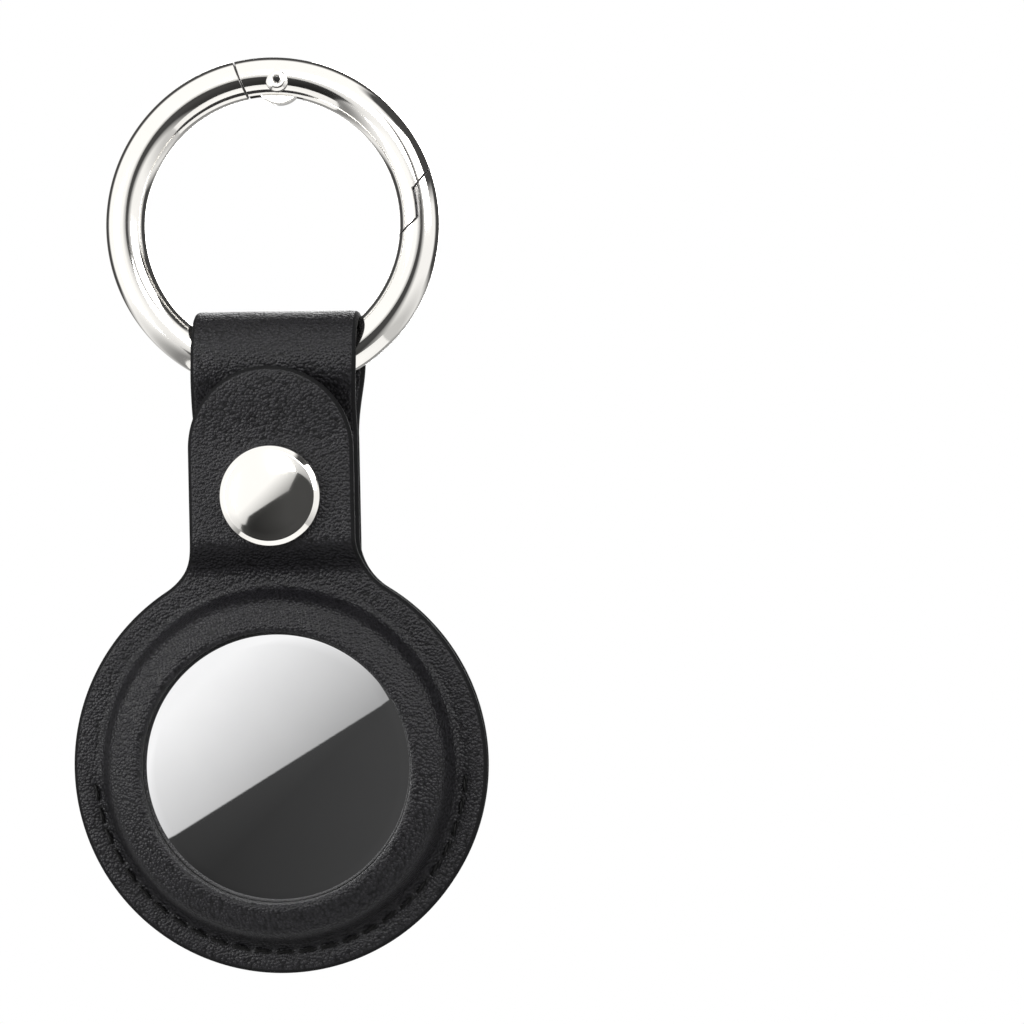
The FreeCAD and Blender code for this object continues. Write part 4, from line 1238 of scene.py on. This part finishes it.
def light_world():
    """A world that is white to the camera, with dark cards in the reflections to draw the metal's forms."""
    world = bpy.data.worlds.new("studio")
    bpy.context.scene.world = world
    world.use_nodes = True
    tree = world.node_tree
    tree.nodes.clear()
    output = add_node(tree, "ShaderNodeOutputWorld")
    direction = add_node(tree, "ShaderNodeTexCoord").outputs["Generated"]
    split = add_node(tree, "ShaderNodeSeparateXYZ")
    tree.links.new(direction, split.inputs["Vector"])
    path = add_node(tree, "ShaderNodeLightPath")

    def math_node(operation, first, second):
        node = add_node(tree, "ShaderNodeMath", operation=operation)
        feed(tree, first, node.inputs[0])
        feed(tree, second, node.inputs[1])
        return node.outputs["Value"]

    x, y, z = split.outputs["X"], split.outputs["Y"], split.outputs["Z"]

    def times(*factors):
        result = factors[0]
        for factor in factors[1:]:
            result = math_node("MULTIPLY", result, factor)
        return result

    # The card below draws the dark half of the steel face and of the cap
    rise = math_node("SUBTRACT", times(x, EDGE_SLOPE[0]), times(z, EDGE_SLOPE[1]))
    offset = EDGE_SLOPE[1] * EDGE_POINT[1] - EDGE_SLOPE[0] * EDGE_POINT[0]
    level = math_node("ADD", rise, offset)
    right_side = math_node("SUBTRACT", x, times(z, 0.457))
    corner = times(ramp(tree, right_side, 0.08, 0.09, 0.0, 1.0), ramp(tree, z, 0.42, 0.5, 1.0, 0.0))
    left_side = math_node("SUBTRACT", x, times(z, 0.4))
    low_card = times(
        math_node("MAXIMUM", ramp(tree, level, -EDGE_BLUR, EDGE_BLUR, 0.0, 1.0), corner),
        ramp(tree, x, 0.32, 0.42, 1.0, 0.0),
        ramp(tree, left_side, -0.3, -0.28, 0.0, 1.0),
        ramp(tree, z, -0.95, -0.8, 0.0, 1.0),
        ramp(tree, y, -0.4, -0.2, 1.0, 0.0),
    )
    # One card high on the right and one behind draw the dark lines along the ring
    high_card = times(
        ramp(tree, x, 0.4, 0.5, 0.0, 1.0),
        ramp(tree, z, 0.2, 0.35, 0.0, 1.0),
        ramp(tree, math_node("ABSOLUTE", y, 0.0), 0.35, 0.5, 1.0, 0.0),
    )
    behind = times(
        ramp(tree, y, 0.15, 0.35, 0.0, 1.0),
        ramp(tree, y, 0.78, 0.9, 1.0, 0.0),
        ramp(tree, z, -0.4, -0.2, 0.0, 1.0),
    )
    dark = math_node("MAXIMUM", high_card, behind)
    # White fades slowly towards the card's edge and downwards
    card_tone = ramp(tree, x, -0.3, 0.08, 0.93, 0.85)
    low_shade = math_node("SUBTRACT", 1.0, times(low_card, card_tone))
    lean = math_node("SUBTRACT", times(z, 2.28), times(x, 2.14))
    left_fade = ramp(tree, lean, -0.03, 0.65, 0.42, 1.1)
    fade = math_node("MAXIMUM", left_fade, ramp(tree, x, 0.3, 0.6, 0.0, 1.0))
    low = ramp(tree, z, -0.6, -0.28, 0.6, 1.0)
    mirror = times(fade, low, low_shade, ramp(tree, dark, 0.0, 1.0, 1.0, DARK_CARD))

    def background(strength):
        node = add_node(tree, "ShaderNodeBackground")
        node.inputs["Color"].default_value = (1, 1, 1, 1)
        feed(tree, strength, node.inputs["Strength"])
        return node.outputs["Background"]

    def choose(factor, first, second):
        node = add_node(tree, "ShaderNodeMixShader")
        tree.links.new(factor, node.inputs[0])
        tree.links.new(first, node.inputs[1])
        tree.links.new(second, node.inputs[2])
        return node.outputs["Shader"]

    lit = choose(path.outputs["Is Glossy Ray"], background(ROOM_LIGHT), background(mirror))
    seen = choose(path.outputs["Is Camera Ray"], lit, background(1.0))
    tree.links.new(seen, output.inputs["Surface"])


def soft_lamp(name, place, target, width, power):
    """A square lamp that the camera doesn't see."""
    lamp = bpy.data.lights.new(name, "AREA")
    lamp.shape = "SQUARE"
    lamp.size = width
    lamp.energy = power
    piece = bpy.data.objects.new(name, lamp)
    piece.location = place
    piece.rotation_euler = (Vector(target) - Vector(place)).to_track_quat("-Z", "Y").to_euler()
    piece.visible_camera = False
    bpy.context.scene.collection.objects.link(piece)


# The floor's height, half width and fade, in metres, and its own light near the object
FLOOR_Z = -0.2
FLOOR_HALF = 0.18
FLOOR_FADE = (0.21, 0.27)
FLOOR_GLOW = 0.55


def white_floor():
    """A pale floor that takes a faint shadow under the object and fades to white at its rim."""
    signs = ((-1, -1), (1, -1), (1, 1), (-1, 1))
    corners = [(x * FLOOR_HALF, y * FLOOR_HALF, FLOOR_Z) for x, y in signs]
    mesh = bpy.data.meshes.new("floor")
    mesh.from_pydata(corners, [], [(0, 1, 2, 3)])
    material, tree, shader = new_material("floor_white", (0.9, 0.9, 0.9), 0.9)
    place = add_node(tree, "ShaderNodeTexCoord").outputs["Object"]
    tint(tree, noise(tree, place, 6.0, 2.0), shader, (0.89, 0.89, 0.89), (0.91, 0.91, 0.91))
    away = add_node(tree, "ShaderNodeVectorMath", operation="LENGTH")
    tree.links.new(place, away.inputs[0])
    glow = add_node(tree, "ShaderNodeEmission", Strength=1.0)
    mix = add_node(tree, "ShaderNodeMixShader")
    fade = ramp(tree, away.outputs["Value"], *FLOOR_FADE, FLOOR_GLOW, 1.0)
    tree.links.new(fade, mix.inputs[0])
    tree.links.new(shader.outputs["BSDF"], mix.inputs[1])
    tree.links.new(glow.outputs["Emission"], mix.inputs[2])
    tree.links.new(mix.outputs["Shader"], tree.nodes["Material Output"].inputs["Surface"])
    mesh.materials.append(material)
    piece = bpy.data.objects.new("floor", mesh)
    bpy.context.scene.collection.objects.link(piece)


LENS = 106.5
ROLL = -1.18
SWING = 3.6
EYE_X = 23.21
EYE_AWAY = 300
EYE_Z = -28.9


def photo_camera():
    """The photograph's view: nearly level, from the front, with a long lens and a slight roll."""
    data = bpy.data.cameras.new("camera")
    data.sensor_width = 36
    data.lens = LENS
    data.clip_start = 0.01
    piece = bpy.data.objects.new("camera", data)
    roll = math.radians(ROLL)
    right = Vector((math.cos(roll), 0, math.sin(roll)))
    up = Vector((-math.sin(roll), 0, math.cos(roll)))
    turn = Matrix((right, up, right.cross(up))).transposed().to_4x4()
    straight = Matrix.Translation(Vector((EYE_X, -EYE_AWAY - TAG.y, EYE_Z)) * MM) @ turn
    swing = Matrix.Rotation(math.radians(SWING), 4, "Z")
    piece.matrix_world = Matrix.Translation(Vector((0, TAG.y, 0)) * MM) @ swing @ straight
    bpy.context.scene.collection.objects.link(piece)
    bpy.context.scene.camera = piece


# Each lamp's place, what it points at, its width and its power, in metres and watts
LAMPS = {
    "key": ((-0.13, -0.11, -0.01), (0, 0, -0.04), 0.1, 0.28),
    "side": ((0.4, -0.3, 0.2), (0, 0, -0.04), 0.35, 2.4),
    "top": ((0.02, -0.2, 0.09), (0, 0, -0.02), 0.1, 0.26),
    "back": ((0.1, 0.6, 0.2), (0, 0, -0.03), 0.5, 4.3),
}

light_world()
white_floor()
for lamp_name, lamp_values in LAMPS.items():
    soft_lamp(lamp_name, *lamp_values)
photo_camera()

bpy.context.scene.view_settings.view_transform = "Standard"
